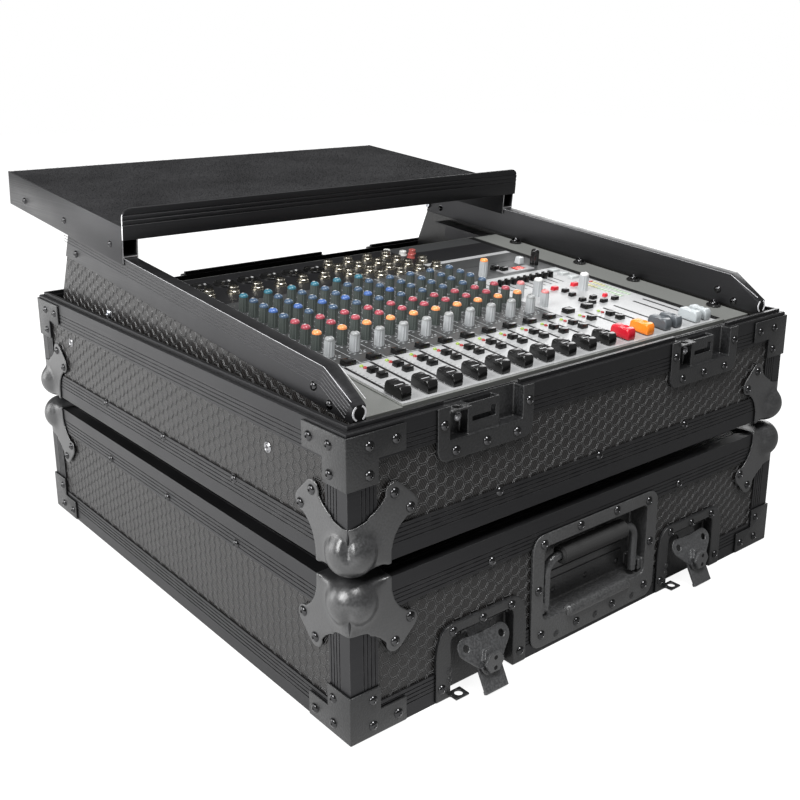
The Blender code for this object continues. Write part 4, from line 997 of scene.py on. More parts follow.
class Press:
    """Repeats shapes over spots, panels and boards with Geometry Nodes, and bakes them."""

    def __init__(self) -> None:
        """Build the three trees."""
        self.stamps = self.stamp_tree()
        self.relief = self.honeycomb_tree()
        self.pile = self.pile_tree()

    @staticmethod
    def bring_out(graph: Graph, sink: bpy.types.Node, stamped: Socket, finish: Socket) -> None:
        """End a tree: realize its instances and set their finish.

        Args:
            graph: the tree's graph.
            sink: its output node.
            stamped: the instances.
            finish: the material's socket.
        """
        real = graph.add("GeometryNodeRealizeInstances", {0: stamped})
        dressed = graph.add("GeometryNodeSetMaterial", {"Geometry": real.outputs[0],
                                                        "Material": finish})
        graph.feed(sink.inputs[0], dressed.outputs[0])

    @staticmethod
    def stand(graph: Graph, facing: Socket, side: Socket) -> Socket:
        """Return the rotation that turns +Z to one direction and +X towards another."""
        upright = graph.add("FunctionNodeAlignRotationToVector", {"Vector": facing}, axis="Z")
        turned = graph.add("FunctionNodeAlignRotationToVector",
                           {"Rotation": upright.outputs[0], "Vector": side},
                           axis="X", pivot_axis="Z")
        return turned.outputs[0]

    def stamp_tree(self) -> bpy.types.NodeTree:
        """Build the tree that stands one stamp on each point of a mesh."""
        graph, source, sink = new_tree("place_stamps", "GeometryNodeTree",
                                       [("Geometry", "Geometry", None), ("Stamp", "Object", None),
                                        ("Finish", "Material", None),
                                        ("Turn spread", "Float", 0.0), ("Seed", "Int", 3)],
                                       [("Geometry", "Geometry")])

        def named(label: str, kind: str) -> Socket:
            """Read one attribute of the points."""
            return graph.add("GeometryNodeInputNamedAttribute", {"Name": label},
                             data_type=kind).outputs[0]

        spread = source.outputs["Turn spread"]
        rotation = self.stand(graph, named("facing", "FLOAT_VECTOR"),
                              named("side", "FLOAT_VECTOR"))
        back = graph.math("MULTIPLY", spread, -1.0)
        turn = graph.add("FunctionNodeRandomValue", {2: back, 3: spread,
                                                     "Seed": source.outputs["Seed"]},
                         data_type="FLOAT")
        about = graph.add("ShaderNodeCombineXYZ", {2: turn.outputs[1]})
        spin = graph.add("FunctionNodeEulerToRotation", {0: about.outputs[0]})
        rotation = graph.add("FunctionNodeRotateRotation", {0: rotation, 1: spin.outputs[0]},
                             rotation_space="LOCAL").outputs[0]
        stamp = graph.add("GeometryNodeObjectInfo", {"Object": source.outputs["Stamp"],
                                                     "As Instance": True})
        placed = graph.add("GeometryNodeInstanceOnPoints",
                           {"Points": source.outputs["Geometry"],
                            "Instance": stamp.outputs["Geometry"],
                            "Rotation": rotation, "Scale": named("size", "FLOAT")})
        self.bring_out(graph, sink, placed.outputs[0], source.outputs["Finish"])
        return graph.tree

    def honeycomb_tree(self) -> bpy.types.NodeTree:
        """Build the tree that lays honeycomb cells wherever rays from outside meet a panel."""
        vector = ("Vector", None)
        graph, source, sink = new_tree(
            "honeycomb_relief", "GeometryNodeTree",
            [("Geometry", "Geometry", None), ("Panel", "Object", None), ("Cell", "Object", None),
             ("Finish", "Material", None), ("Centre", *vector), ("Across", *vector),
             ("Upwards", *vector), ("Columns", "Int", 40), ("Rows", "Int", 9),
             ("Pitch", "Float", 0.0105), ("Reach", "Float", 0.005)],
            [("Geometry", "Geometry")])
        get = source.outputs
        step = graph.math("MULTIPLY", get["Pitch"], HEX)
        width = graph.math("MULTIPLY", step, graph.math("SUBTRACT", get["Columns"], 1.0))
        height = graph.math("MULTIPLY", get["Pitch"], graph.math("SUBTRACT", get["Rows"], 1.0))
        grid = graph.add("GeometryNodeMeshGrid", {0: width, 1: height, 2: get["Columns"],
                                                  3: get["Rows"]})
        here = graph.add("GeometryNodeInputPosition").outputs[0]
        x, y, _ = graph.parts(here)
        middle = graph.math("MULTIPLY", width, 0.5)
        column = graph.math("DIVIDE", graph.math("ADD", x, middle), step)
        odd = graph.math("MODULO", graph.math("ROUND", column), 2.0)
        shift = graph.math("MULTIPLY", graph.math("MULTIPLY", odd, get["Pitch"]), 0.5)
        sideways = graph.scaled(get["Across"], x)
        upwards = graph.scaled(get["Upwards"], graph.math("ADD", y, shift))
        place = graph.plus(get["Centre"], graph.plus(sideways, upwards))
        points = graph.add("GeometryNodeSetPosition", {"Geometry": grid.outputs[0],
                                                       "Position": place}).outputs[0]
        facing = graph.vector("CROSS_PRODUCT", get["Across"], get["Upwards"]).outputs[0]
        panel = graph.add("GeometryNodeObjectInfo", {"Object": get["Panel"]}).outputs["Geometry"]
        outside = graph.scaled(facing, 0.02)
        inwards = graph.scaled(facing, -1.0)
        rays = []
        for across, up in ((0.0, 0.0), (1.0, 0.0), (-1.0, 0.0), (0.5, 0.87), (-0.5, 0.87),
                           (0.5, -0.87), (-0.5, -0.87)):
            corner, lift = [graph.scaled(get[label], graph.math("MULTIPLY", get["Reach"], part))
                            for label, part in (("Across", across), ("Upwards", up))]
            start = graph.plus(graph.plus(here, corner), graph.plus(lift, outside))
            rays.append(graph.add("GeometryNodeRaycast", {"Target Geometry": panel,
                                                          "Source Position": start,
                                                          "Ray Direction": inwards,
                                                          "Ray Length": 0.0235}).outputs)
        ground = rays[0]["Hit Position"]
        meets = rays[0]["Is Hit"]
        for ray in rays[1:]:
            meets = graph.add("FunctionNodeBooleanMath", {0: meets, 1: ray["Is Hit"]},
                              operation="AND").outputs[0]
        missed = graph.add("FunctionNodeBooleanMath", {0: meets}, operation="NOT").outputs[0]
        kept = graph.add("GeometryNodeStoreNamedAttribute", {"Geometry": points, "Name": "missed",
                                                             "Value": missed},
                         data_type="BOOLEAN").outputs[0]
        seated = graph.add("GeometryNodeSetPosition", {"Geometry": kept, "Selection": meets,
                                                       "Position": ground}).outputs[0]
        flag = graph.add("GeometryNodeInputNamedAttribute", {"Name": "missed"},
                         data_type="BOOLEAN").outputs[0]
        left = graph.add("GeometryNodeDeleteGeometry", {"Geometry": seated, "Selection": flag})
        cell = graph.add("GeometryNodeObjectInfo", {"Object": get["Cell"], "As Instance": True})
        placed = graph.add("GeometryNodeInstanceOnPoints",
                           {"Points": left.outputs[0], "Instance": cell.outputs["Geometry"],
                            "Rotation": self.stand(graph, facing, get["Across"])})
        self.bring_out(graph, sink, placed.outputs[0], get["Finish"])
        return graph.tree

    def pile_tree(self) -> bpy.types.NodeTree:
        """Build the tree that scatters fibres over the upper side of a board."""
        graph, source, sink = new_tree(
            "carpet_pile", "GeometryNodeTree",
            [("Geometry", "Geometry", None), ("Board", "Object", None), ("Fibre", "Object", None),
             ("Finish", "Material", None), ("Upwards", "Vector", None),
             ("Density", "Float", 200000.0), ("Lean", "Float", 1.15), ("Seed", "Int", 11)],
            [("Geometry", "Geometry")])
        get = source.outputs
        board = graph.add("GeometryNodeObjectInfo", {"Object": get["Board"]}).outputs["Geometry"]
        normal = graph.add("GeometryNodeInputNormal").outputs[0]
        level = graph.vector("DOT_PRODUCT", normal, get["Upwards"]).outputs["Value"]
        upper = graph.add("FunctionNodeCompare", {0: level, 1: 0.9},
                          operation="GREATER_THAN").outputs[0]
        scatter = graph.add("GeometryNodeDistributePointsOnFaces",
                            {"Mesh": board, "Selection": upper, "Density": get["Density"],
                             "Seed": get["Seed"]})
        lean = get["Lean"]
        less = graph.math("MULTIPLY", lean, -1.0)
        lows = graph.add("ShaderNodeCombineXYZ", {0: less, 1: less, 2: 0.0}).outputs[0]
        highs = graph.add("ShaderNodeCombineXYZ", {0: lean, 1: lean, 2: math.tau}).outputs[0]
        tilt = graph.add("FunctionNodeRandomValue", {0: lows, 1: highs, "Seed": get["Seed"]},
                         data_type="FLOAT_VECTOR").outputs[0]
        size = graph.add("FunctionNodeRandomValue", {2: 0.55, 3: 1.1, "Seed": get["Seed"]},
                         data_type="FLOAT").outputs[1]
        fibre = graph.add("GeometryNodeObjectInfo", {"Object": get["Fibre"], "As Instance": True})
        turned = graph.add("FunctionNodeEulerToRotation", {0: tilt}).outputs[0]
        placed = graph.add("GeometryNodeInstanceOnPoints",
                           {"Points": scatter.outputs[0], "Instance": fibre.outputs["Geometry"],
                            "Rotation": turned, "Scale": size})
        self.bring_out(graph, sink, placed.outputs[0], get["Finish"])
        return graph.tree

    @staticmethod
    def bake(name: str, host: bpy.types.Object, tree: bpy.types.NodeTree, values: dict[str, object],
             body: str, slot: str) -> bpy.types.Object:
        """Run a tree on a host, keep the result as a plain mesh and let it ride.

        Args:
            name: name of the finished piece.
            host: object that carries the modifier; it is removed.
            tree: the tree.
            values: its inputs by name.
            body: the body that the piece rides on.
            slot: the record's material slot.

        Returns:
            The finished piece.
        """
        modifier = host.modifiers.new("press", "NODES")
        modifier.node_group = tree
        for item in tree.interface.items_tree:
            if item.in_out == "INPUT" and item.name in values:
                modifier[item.identifier] = values[item.name]
        mesh = evaluated(host)
        bpy.data.objects.remove(host)
        mesh.name = name
        for label in ("facing", "side", "size", "missed"):
            if label in mesh.attributes:
                mesh.attributes.remove(mesh.attributes[label])
        return hang(name, mesh, body, slot)

    @staticmethod
    def template(mesh: bpy.types.Mesh) -> bpy.types.Object:
        """Return an object that shows a stamp's mesh while a tree runs."""
        made = bpy.data.objects.new("stamp_" + mesh.name, mesh)
        bpy.context.scene.collection.objects.link(made)
        return made

    def strike(self, name: str, shape: bpy.types.Mesh, spots: Iterable[Spot], finish: Finish,
               body: str = "tray", slot: str = "black_steel", spread: float = 0.0,
               seed: int = 3) -> bpy.types.Object:
        """Stand one shape on many spots and join them to one piece.

        Args:
            name: name of the piece.
            shape: the shape's mesh, facing +Z.
            spots: where it goes.
            finish: its finish.
            body: the body it rides on.
            slot: the record's material slot.
            spread: how far each is turned at random, in degrees to either side.
            seed: seed of those turns.

        Returns:
            The piece.
        """
        spots = list(spots)
        points = bpy.data.meshes.new(name + "_points")
        points.from_pydata([spot.place for spot in spots], [], [])
        for label, kind, field_name in (("facing", "FLOAT_VECTOR", "vector"),
                                        ("side", "FLOAT_VECTOR", "vector"),
                                        ("size", "FLOAT", "value")):
            layer = points.attributes.new(label, kind, "POINT")
            for item, spot in zip(layer.data, spots):
                setattr(item, field_name, getattr(spot, label))
        stamp = self.template(shape)
        values = {"Stamp": stamp, "Finish": finish.material(),
                  "Turn spread": math.radians(spread), "Seed": seed}
        piece = self.bake(name, self.template(points), self.stamps, values, body, slot)
        bpy.data.objects.remove(stamp)
        return piece

    def rivet(self, name: str, spots: Iterable[Spot], body: str = "tray") -> None:
        """Set bright black rivets, each turned at random."""
        self.strike(name, Shape.rivet(), spots, RIVET_BLACK, body, spread=180.0)


def join(name: str, pieces: Sequence[bpy.types.Object]) -> bpy.types.Object:
    """Join pieces of one body into one mesh that keeps all their finishes.

    Args:
        name: name of the joined piece.
        pieces: the pieces; the first one stays.

    Returns:
        The joined piece.
    """
    first = pieces[0]
    if len(pieces) > 1:
        with bpy.context.temp_override(active_object=first, selected_editable_objects=list(pieces)):
            bpy.ops.object.join()
    first.name = name
    first.data.name = name
    return first


def dress(finish: Finish, *names: str) -> None:
    """Give CAD pieces a finish.

    Args:
        finish: the finish.
        *names: names of the pieces.
    """
    for name in names:
        obj = frame["nodes"][name]
        material = finish.material()
        if not obj.material_slots:
            obj.data.materials.append(material)
        for slot in obj.material_slots:
            slot.material = material
        log.info("%s: dressed in %s", name, finish.name)


CORNERS = ("fl", "fr", "bl", "br")
BALL_RADIUS = 19.5
BALL_INSET = (9.4, 13.0)
BALL_EDGES = (126.0, 139.4)


@dataclass(frozen=True)
class Twin:
    """Stands a copy of a CAD piece in its place, with eased edges and smooth faces."""

    fold: float = 34.0

    def build(self, finish: Finish, *names: str) -> None:
        """Build the twins of some CAD pieces.

        Args:
            finish: the finish of the twins.
            *names: names of the CAD pieces.
        """
        for name in names:
            node = frame["nodes"][name]
            bm = bmesh.new()
            bm.from_mesh(node.data)
            bmesh.ops.remove_doubles(bm, verts=bm.verts, dist=0.01 * MM)
            mesh = self.ease(name + "_eased", bm)
            mesh.shade_smooth()
            mesh.set_sharp_from_angle(angle=math.radians(self.fold))
            twin = hang(name + "_eased", mesh, body_of(name), node.material_slots[0].name, finish)
            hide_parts(name)

    def ease(self, label: str, bm: bmesh.types.BMesh) -> bpy.types.Mesh:
        """Turn the merged shape into the twin's mesh.

        Args:
            label: name of the mesh.
            bm: the CAD shape, merged; it is freed here.

        Returns:
            The mesh.
        """
        return settle(label, bm)


@dataclass(frozen=True)
class Milled(Twin):
    """A twin whose sharp edges carry a small rounded bevel: for extrusions and flat parts."""

    radius: float = 0.5
    steps: int = 2
    bend: float = 50.0

    def ease(self, label: str, bm: bmesh.types.BMesh) -> bpy.types.Mesh:
        """Bevel the sharp edges."""
        bmesh.ops.dissolve_limit(bm, angle_limit=math.radians(0.5), verts=bm.verts, edges=bm.edges)
        sharp = [edge for edge in bm.edges if len(edge.link_faces) == 2
                 and edge.calc_face_angle(0.0) > math.radians(self.bend)]
        bmesh.ops.bevel(bm, geom=sharp, offset=self.radius * MM, segments=self.steps,
                        affect="EDGES", profile=0.5, clamp_overlap=True)
        return Twin.ease(self, label, bm)


@dataclass(frozen=True)
class Pressed(Twin):
    """A twin whose whole skin is soft, as pressed sheet or moulded rubber is."""

    fold: float = 60.0
    voxel: float = 0.6
    rounds: int = 4
    keep: float = 0.16
    inset: Point = (0.0, 0.0)
    reach: Point = (0.0, 0.0)
    crease: float = 3.6
    crease_width: float = 3.6
    crease_end: float = 27.0
    foot: float = 4.0
    fade_in: float = 9.0
    fade_out: float = 6.0
    fillet_rounds: int = 60
    crease_rounds: int = 22

    def ease(self, label: str, bm: bmesh.types.BMesh) -> bpy.types.Mesh:
        """Build the skin anew from small cells, smooth it and thin it out."""
        host = Press.template(Twin.ease(self, label + "_host", bm))
        skin = host.modifiers.new("skin", "REMESH")
        skin.mode = "VOXEL"
        skin.voxel_size = self.voxel * MM * 1.0
        if self.reach[1]:
            self.blend_ball(host)
        soft = host.modifiers.new("soft", "SMOOTH")
        soft.factor = 0.5
        soft.iterations = self.rounds
        thin = host.modifiers.new("thin", "DECIMATE")
        thin.ratio = self.keep
        mesh = evaluated(host)
        bpy.data.objects.remove(host)
        mesh.name = label
        return mesh

    def blend_ball(self, host: bpy.types.Object) -> None:
        """Run the ball over into its wings with a soft fillet and a crease between its lobes.

        Args:
            host: the object with the skin modifier, which is used up here.
        """
        mesh = evaluated(host)
        host.modifiers.clear()
        low, high = [Vector(corner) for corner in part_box("lid_edge_frame")]
        middle = sum((vert.co for vert in mesh.vertices), Vector()) / len(mesh.vertices)
        lid = middle.z < high.z
        side, level = self.inset
        centre = Vector((low.x + side * MM if middle.x < 0 else high.x - side * MM,
                         low.y + side * MM if middle.y < 0 else high.y - side * MM,
                         (BALL_EDGES[0] - level if lid else BALL_EDGES[1] + level) * MM))
        near, far = self.reach
        bm = bmesh.new()
        bm.from_mesh(mesh)
        ring = [vert for vert in bm.verts if near * MM < (vert.co - centre).length < far * MM]
        self.soften(bm, ring, self.fillet_rounds)
        way = -1.0 if lid else 1.0
        outward = Vector((math.copysign(1.0, middle.x), -1.0 if middle.y < 0 else 1.0, 0.0))
        for vert in ring:
            away = vert.co - centre
            rise = away.z * way / MM
            if away.dot(outward) < 0 or rise < -self.foot:
                continue
            off = (away.x * outward.x - away.y * outward.y) / math.sqrt(2) / MM
            fade = min(1.0, (rise + self.foot) / self.fade_in)
            fade *= min(1.0, max(0.0, (self.crease_end - away.length / MM) / self.fade_out))
            depth = self.crease * fade * math.exp(-(off / self.crease_width) ** 2)
            vert.co -= away.normalized() * depth * MM
        self.soften(bm, ring, self.crease_rounds)
        bm.to_mesh(mesh)
        bm.free()
        host.data = mesh

    @staticmethod
    def soften(bm: bmesh.types.BMesh, verts: Sequence[bmesh.types.BMVert], rounds: int) -> None:
        """Smooth some of a mesh's points a number of times."""
        for _ in range(rounds):
            bmesh.ops.smooth_vert(bm, verts=verts, factor=0.5, use_axis_x=True, use_axis_y=True,
                                  use_axis_z=True)


def body_of(name: str) -> str:
    """Return the body that a CAD piece belongs to."""
    bodies = frame["record"]["behaviour"]["bodies"]
    return next(body for body, members in bodies.items() if name in members)


# The case

@dataclass
class Shell:
    """One half of the case, lid or tray: boards, extrusions, corners and their rivets."""

    press: Press
    case: CaseFrame
    body: str
    frame_z: float
    level: dict[Wall, tuple[float, ...]]
    brace: tuple[Point, ...]
    ball_edge: float
    ball_inward: int
    cells_z: tuple[float, float]
    flat_panel: str
    flat_z: float
    cell_pitch: float = 10.5
    cell_gap: float = 0.9
    cell_height: float = 0.42
    cell_margin: float = 24.0
    latch_offset: float = 138.0
    wing: tuple[Point, ...] = ((41.0, 53.0), (55.8, 37.8))

    def dress(self) -> None:
        """Give the half's CAD pieces their finishes."""
        walls = [wall.name.lower() for wall in Wall]
        dress(EXTRUSION, self.body + "_edge_frame", self.body + "_rim_frame")
        dress(BOARD, *(f"{self.body}_{wall}_panel" for wall in walls),
              f"{self.body}_{self.flat_panel}_panel")
        ball = Pressed(voxel=0.8, keep=0.3, inset=BALL_INSET,
                       reach=(BALL_RADIUS - 4.0, BALL_RADIUS + 11.0))
        ball.build(BALL_STEEL, *(f"{self.body}_ball_corner_{tag}" for tag in CORNERS))
        Milled(radius=0.45).build(STEEL, *(f"{self.body}_corner_brace_{tag}" for tag in CORNERS))

    def rivet_spots(self, seat: Seat) -> list[Spot]:
        """Return the spots of the rivets on extrusions, braces and ball corners.

        Args:
            seat: finds the surface of the half's pieces.

        Returns:
            The spots.
        """
        spots = []
        for wall in Wall:
            half = self.case.half(wall)
            rough = [(across, self.frame_z) for across in self.level[wall]]
            for sign in (-1, 1):
                rough += [(sign * (half - u), z) for u, z in self.brace]
                rough += [(sign * (half - u), self.ball_edge + self.ball_inward * w)
                          for u, w in self.wing]
            spots += seat.row(self.case, wall, rough)
        facing = UP * -self.ball_inward
        for sx in (-1, 1):
            for sy in (-1, 1):
                for u, w in self.wing:
                    x = sx * (self.case.half(Wall.FRONT) - u)
                    half = self.case.half(Wall.LEFT)
                    place = self.case.at(x, half + sy * (half - w), self.ball_edge)
                    spots.append(seat.drop(place, facing, ALONG_X))
        return spots

    def latch_spots(self, seat: Seat, points: Iterable[Point], size: float = 1.0,
                    reach: float = 30.0) -> list[Spot]:
        """Return the spots of the parts around the four latches.

        Args:
            seat: finds the surface of the half's pieces.
            points: where they sit at one latch: across from its middle, and above the floor.
            size: scale of the stamps.
            reach: how far out the search starts, in millimetres.

        Returns:
            The spots, latch by latch.
        """
        points = list(points)
        spots = []
        for wall in (Wall.FRONT, Wall.BACK):
            for middle in (-self.latch_offset, self.latch_offset):
                here = [(middle + across, z) for across, z in points]
                spots += seat.row(self.case, wall, here, size, reach)
        return spots

    def build_cells(self) -> None:
        """Lay the honeycomb on the four walls, the closed side and further boards."""
        radius = (self.cell_pitch - self.cell_gap) / math.sqrt(3)
        profile = [(radius, -0.08), (radius - 0.08, 0.5 * self.cell_height),
                   (radius - 0.35, self.cell_height), (radius - 0.65, 0.35 * self.cell_height)]
        cell = self.press.template(Shape.lathe("cell", profile, 6))
        low, high = self.cells_z
        length = {wall: 2 * (self.case.half(wall) - self.cell_margin) for wall in Wall}
        pieces = []
        for wall in Wall:
            centre = self.case.on(wall, 0.0, (low + high) / 2 - self.cell_pitch / 4)
            panel = f"{self.body}_{wall.name.lower()}_panel"
            pieces.append(self.lay(panel, cell, centre, wall.across, UP, length[wall], high - low))
        upwards = (UP * -self.ball_inward).cross(ALONG_X)
        centre = self.case.at(0.0, self.case.half(Wall.LEFT), self.flat_z)
        self.lay(f"{self.body}_{self.flat_panel}_panel", cell, centre, ALONG_X, upwards,
                 length[Wall.FRONT], length[Wall.LEFT], 1)
        join(self.body + "_honeycomb", pieces)
        for panel, centre, across, width, height in self.more_boards():
            self.lay(panel, cell, centre, across, UP, width, height)
        bpy.data.objects.remove(cell)

    def more_boards(self) -> list[tuple[str, Vector, Vector, float, float]]:
        """Return other upright boards with honeycomb: name, middle, way across and two sizes."""
        return []

    def lay(self, panel: str, cell: bpy.types.Object, centre: Vector, across: Vector,
            upwards: Vector, width: float, height: float, more: int = 2) -> bpy.types.Object:
        """Lay cells on one panel.

        Args:
            panel: the CAD board that carries them.
            cell: the template of one cell.
            centre: middle of the field.
            across: direction of the rows.
            upwards: direction of the columns.
            width: length of the rows in millimetres.
            height: height of the columns in millimetres.
            more: cells added to those that fit in a column's height.

        Returns:
            The cells of the panel.
        """
        host = self.press.template(bpy.data.meshes.new("cells"))
        values = {"Panel": frame["nodes"][panel], "Cell": cell, "Finish": CELLS.material(),
                  "Centre": centre, "Across": across, "Upwards": upwards,
                  "Columns": int(width / (self.cell_pitch * HEX)) + 1,
                  "Rows": int(height / self.cell_pitch) + more, "Pitch": self.cell_pitch * MM,
                  "Reach": (self.cell_pitch - self.cell_gap) / math.sqrt(3) * MM}
        return Press.bake(panel + "_cells", host, self.press.relief, values, self.body,
                          "laminated_plywood")


@dataclass
class Lid(Shell):
    """The lid, with its latch dishes and its handle dish."""

    dish_rivets: tuple[Point, ...] = ((-32.3, 58.5), (0.0, 58.5), (32.3, 58.5), (-43.7, 11.3),
                                      (43.7, 11.3))
    handle_rivets: tuple[Point, ...] = ((-69.0, 101.0), (69.0, 101.0), (-69.0, 16.6),
                                        (69.0, 16.6), (-74.0, 59.5), (74.0, 59.5),
                                        (-24.0, 12.9), (24.0, 12.9), (-24.0, 104.8), (24.0, 104.8))
    dull_rivets: tuple[Point, ...] = ((-50.0, 10.8), (1.0, 10.8), (52.0, 11.4))
    ledge_rivets: tuple[Point, ...] = ((-34.2, 39.3), (8.3, 39.1), (51.5, 38.8))
    pan_rivets: tuple[Point, ...] = ((-36.6, 25.0), (-36.6, 17.0))
    pocket_ridges: tuple[float, ...] = (50.0, 58.0, 66.0)
    pocket_swell: Point = (4.0, 28.0)

    def build(self) -> None:
        """Add the lid's rivets and its honeycomb."""
        seat = Seat("lid")
        spots = self.rivet_spots(seat) + self.latch_spots(seat, self.dish_rivets)
        spots += seat.row(self.case, Wall.FRONT, self.handle_rivets)
        self.press.rivet("lid_rivets", spots, "lid")
        self.press.strike("handle_dull_rivets", Shape.rivet("dull_rivet", 3.0, 0.8),
                          seat.row(self.case, Wall.FRONT, self.dull_rivets), RIVET_DULL, "lid")
        pan = seat.row(self.case, Wall.FRONT, self.ledge_rivets, 0.9)
        pan += self.latch_spots(seat, self.pan_rivets, 0.9)
        self.press.strike("pan_rivets", Shape.rivet("pan_rivet", 2.9, 1.3), pan, RIVET_DULL, "lid")
        self.build_pocket(seat)
        self.build_cells()

    def build_pocket(self, seat: Seat) -> None:
        """Add the ridges at the back of the handle's pocket and the pressed swell at its foot."""
        ridges = seat.row(self.case, Wall.FRONT, [(0.0, z) for z in self.pocket_ridges])
        shape = Shape.block("pocket_ridge", (112.0, 2.6, 1.1), 0.8, 3, 0.2)
        self.press.strike("pocket_ridges", shape, ridges, HANDLE_STEEL, "lid")
        foot = seat.row(self.case, Wall.FRONT, [self.pocket_swell])[0]
        swell = Spot(foot.place, Vector((0.0, -0.8, 0.6)), foot.side)
        shape = Shape.block("pocket_swell", (84.0, 11.0, 3.0), 2.6, 5, 2.0, sink=1.5)
        self.press.strike("pocket_swells", shape, [swell], HANDLE_STEEL, "lid")


@dataclass
class Tray(Shell):
    """The tray, with its catches and the cup screws of the rack's side boards."""

    catch_rivets: tuple[Point, ...] = ((-43.5, 231.8), (-32.0, 209.7), (0.0, 209.7),
                                       (32.4, 209.6), (45.5, 232.5))
    pocket_rivet: Point = (-29.5, 235.5)
    cup_screws: tuple[Point, ...] = ((103.1, 205.5), (480.3, 208.0))

    def build(self) -> None:
        """Add the tray's rivets, its honeycomb and its screws."""
        seat = Seat("tray")
        spots = self.rivet_spots(seat) + self.latch_spots(seat, self.catch_rivets)
        pocket = self.latch_spots(seat, [self.pocket_rivet], reach=8.0)
        self.press.rivet("tray_rivets", spots)
        self.press.strike("catch_pocket_rivets", Shape.rivet("pocket_rivet", 3.0, 1.7), pocket,
                          GREY_METAL)
        half = self.case.half(Wall.LEFT)
        cups = []
        for wall, sign in ((Wall.LEFT, 1), (Wall.RIGHT, -1)):
            cups += seat.row(self.case, wall, [(sign * (half - y), z) for y, z in self.cup_screws])
        cup = Shape.lathe("cup", [(4.6, -0.3), (4.6, 0.5), (4.1, 1.0), (3.6, 1.0), (3.0, 0.2),
                                  (0.0, 0.2)], 24)
        self.press.strike("cup_washers", cup, cups, GREY_METAL)
        self.press.strike("cup_screws", Shape.screw_head("cup_screw", 3.1, 1.1), cups, GREY_METAL,
                          spread=60.0, seed=5)
        self.build_cells()

    def more_boards(self) -> list[tuple[str, Vector, Vector, float, float]]:
        """Add the outer faces of the sloping rack's side boards."""
        found = []
        for wall in (Wall.LEFT, Wall.RIGHT):
            name = "rack_side_" + wall.name.lower()
            low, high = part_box(name)
            middle = (low + high) / 2
            middle.x = (low.x if wall is Wall.LEFT else high.x) - wall.value[0] * 2 * MM
            found.append((name, middle, wall.across, (high.y - low.y) / MM, (high.z - low.z) / MM))
        return found


@dataclass
class Latches:
    """The four butterfly latches: hooks and wings."""

    press: Press
    boss_z: float = 25.4
    rim_depth: float = 4.0
    dimple_rise: float = 4.6

    def dress(self) -> None:
        """Give the latches' CAD pieces their finishes."""
        for part in ("latch_dish", "catch_plate"):
            Pressed(rounds=3).build(STEEL, *(f"{part}_{tag}" for tag in CORNERS))
        for part in ("latch_hook", "latch_wing"):
            Pressed(voxel=0.4, keep=0.12).build(WING_STEEL, *(f"{part}_{tag}" for tag in CORNERS))
        for tag in CORNERS:
            self.build_boss(tag)

    def build_boss(self, tag: str) -> None:
        """Add the wing's hexagon cap with its two dimples, drawn as near-black discs of painted
        shade, and the pressed rim below it.

        Args:
            tag: which corner's latch.
        """
        wall = Wall.FRONT if tag[0] == "f" else Wall.BACK
        low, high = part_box("latch_wing_" + tag)
        place = (low + high) / 2
        place.z = self.boss_z * MM
        place.y = low.y if wall is Wall.FRONT else high.y
        cap = Shape.lathe("boss_cap_" + tag, [(9.6, -2.6), (10.2, -2.2), (10.2, -0.4), (9.2, 0.5),
                                              (0.0, 0.5)], 6)
        rim = Shape.ring("boss_rim_" + tag, 10.9, 12.4, 0.9, 190.0, 170.0, 24)
        # The dimples are small near-black discs: painted shade in place of hollows.
        dimple = Shape.lathe("boss_dimple_" + tag, [(2.0, 0.3), (1.9, 0.62), (1.2, 0.66),
                                                    (0.0, 0.55)], 16)
        sunk = place - wall.facing * self.rim_depth * MM
        beside = [place + UP * rise * MM for rise in (self.dimple_rise, -self.dimple_rise)]
        for name, shape, places, finish in (("boss_cap_", cap, [place], WING_STEEL),
                                            ("boss_rim_", rim, [sunk], WING_STEEL),
                                            ("boss_dimples_", dimple, beside, SHADE_AND_PRINT_BLACK)):
            spots = [Spot(point, wall.facing, wall.across) for point in places]
            self.press.strike(name + tag, shape, spots, finish, body_of("latch_wing_" + tag))


@dataclass
class CarryHandle:
    """The recessed handle: dish, sprung bail and rubber grip."""

    def dress(self) -> None:
        """Give the handle's CAD pieces their finishes."""
        Pressed(keep=0.12).build(HANDLE_STEEL, "handle_dish")
        Pressed(keep=0.3).build(WING_STEEL, "handle_bail")
        Pressed(keep=0.3, rounds=5).build(RUBBER, "handle_grip")


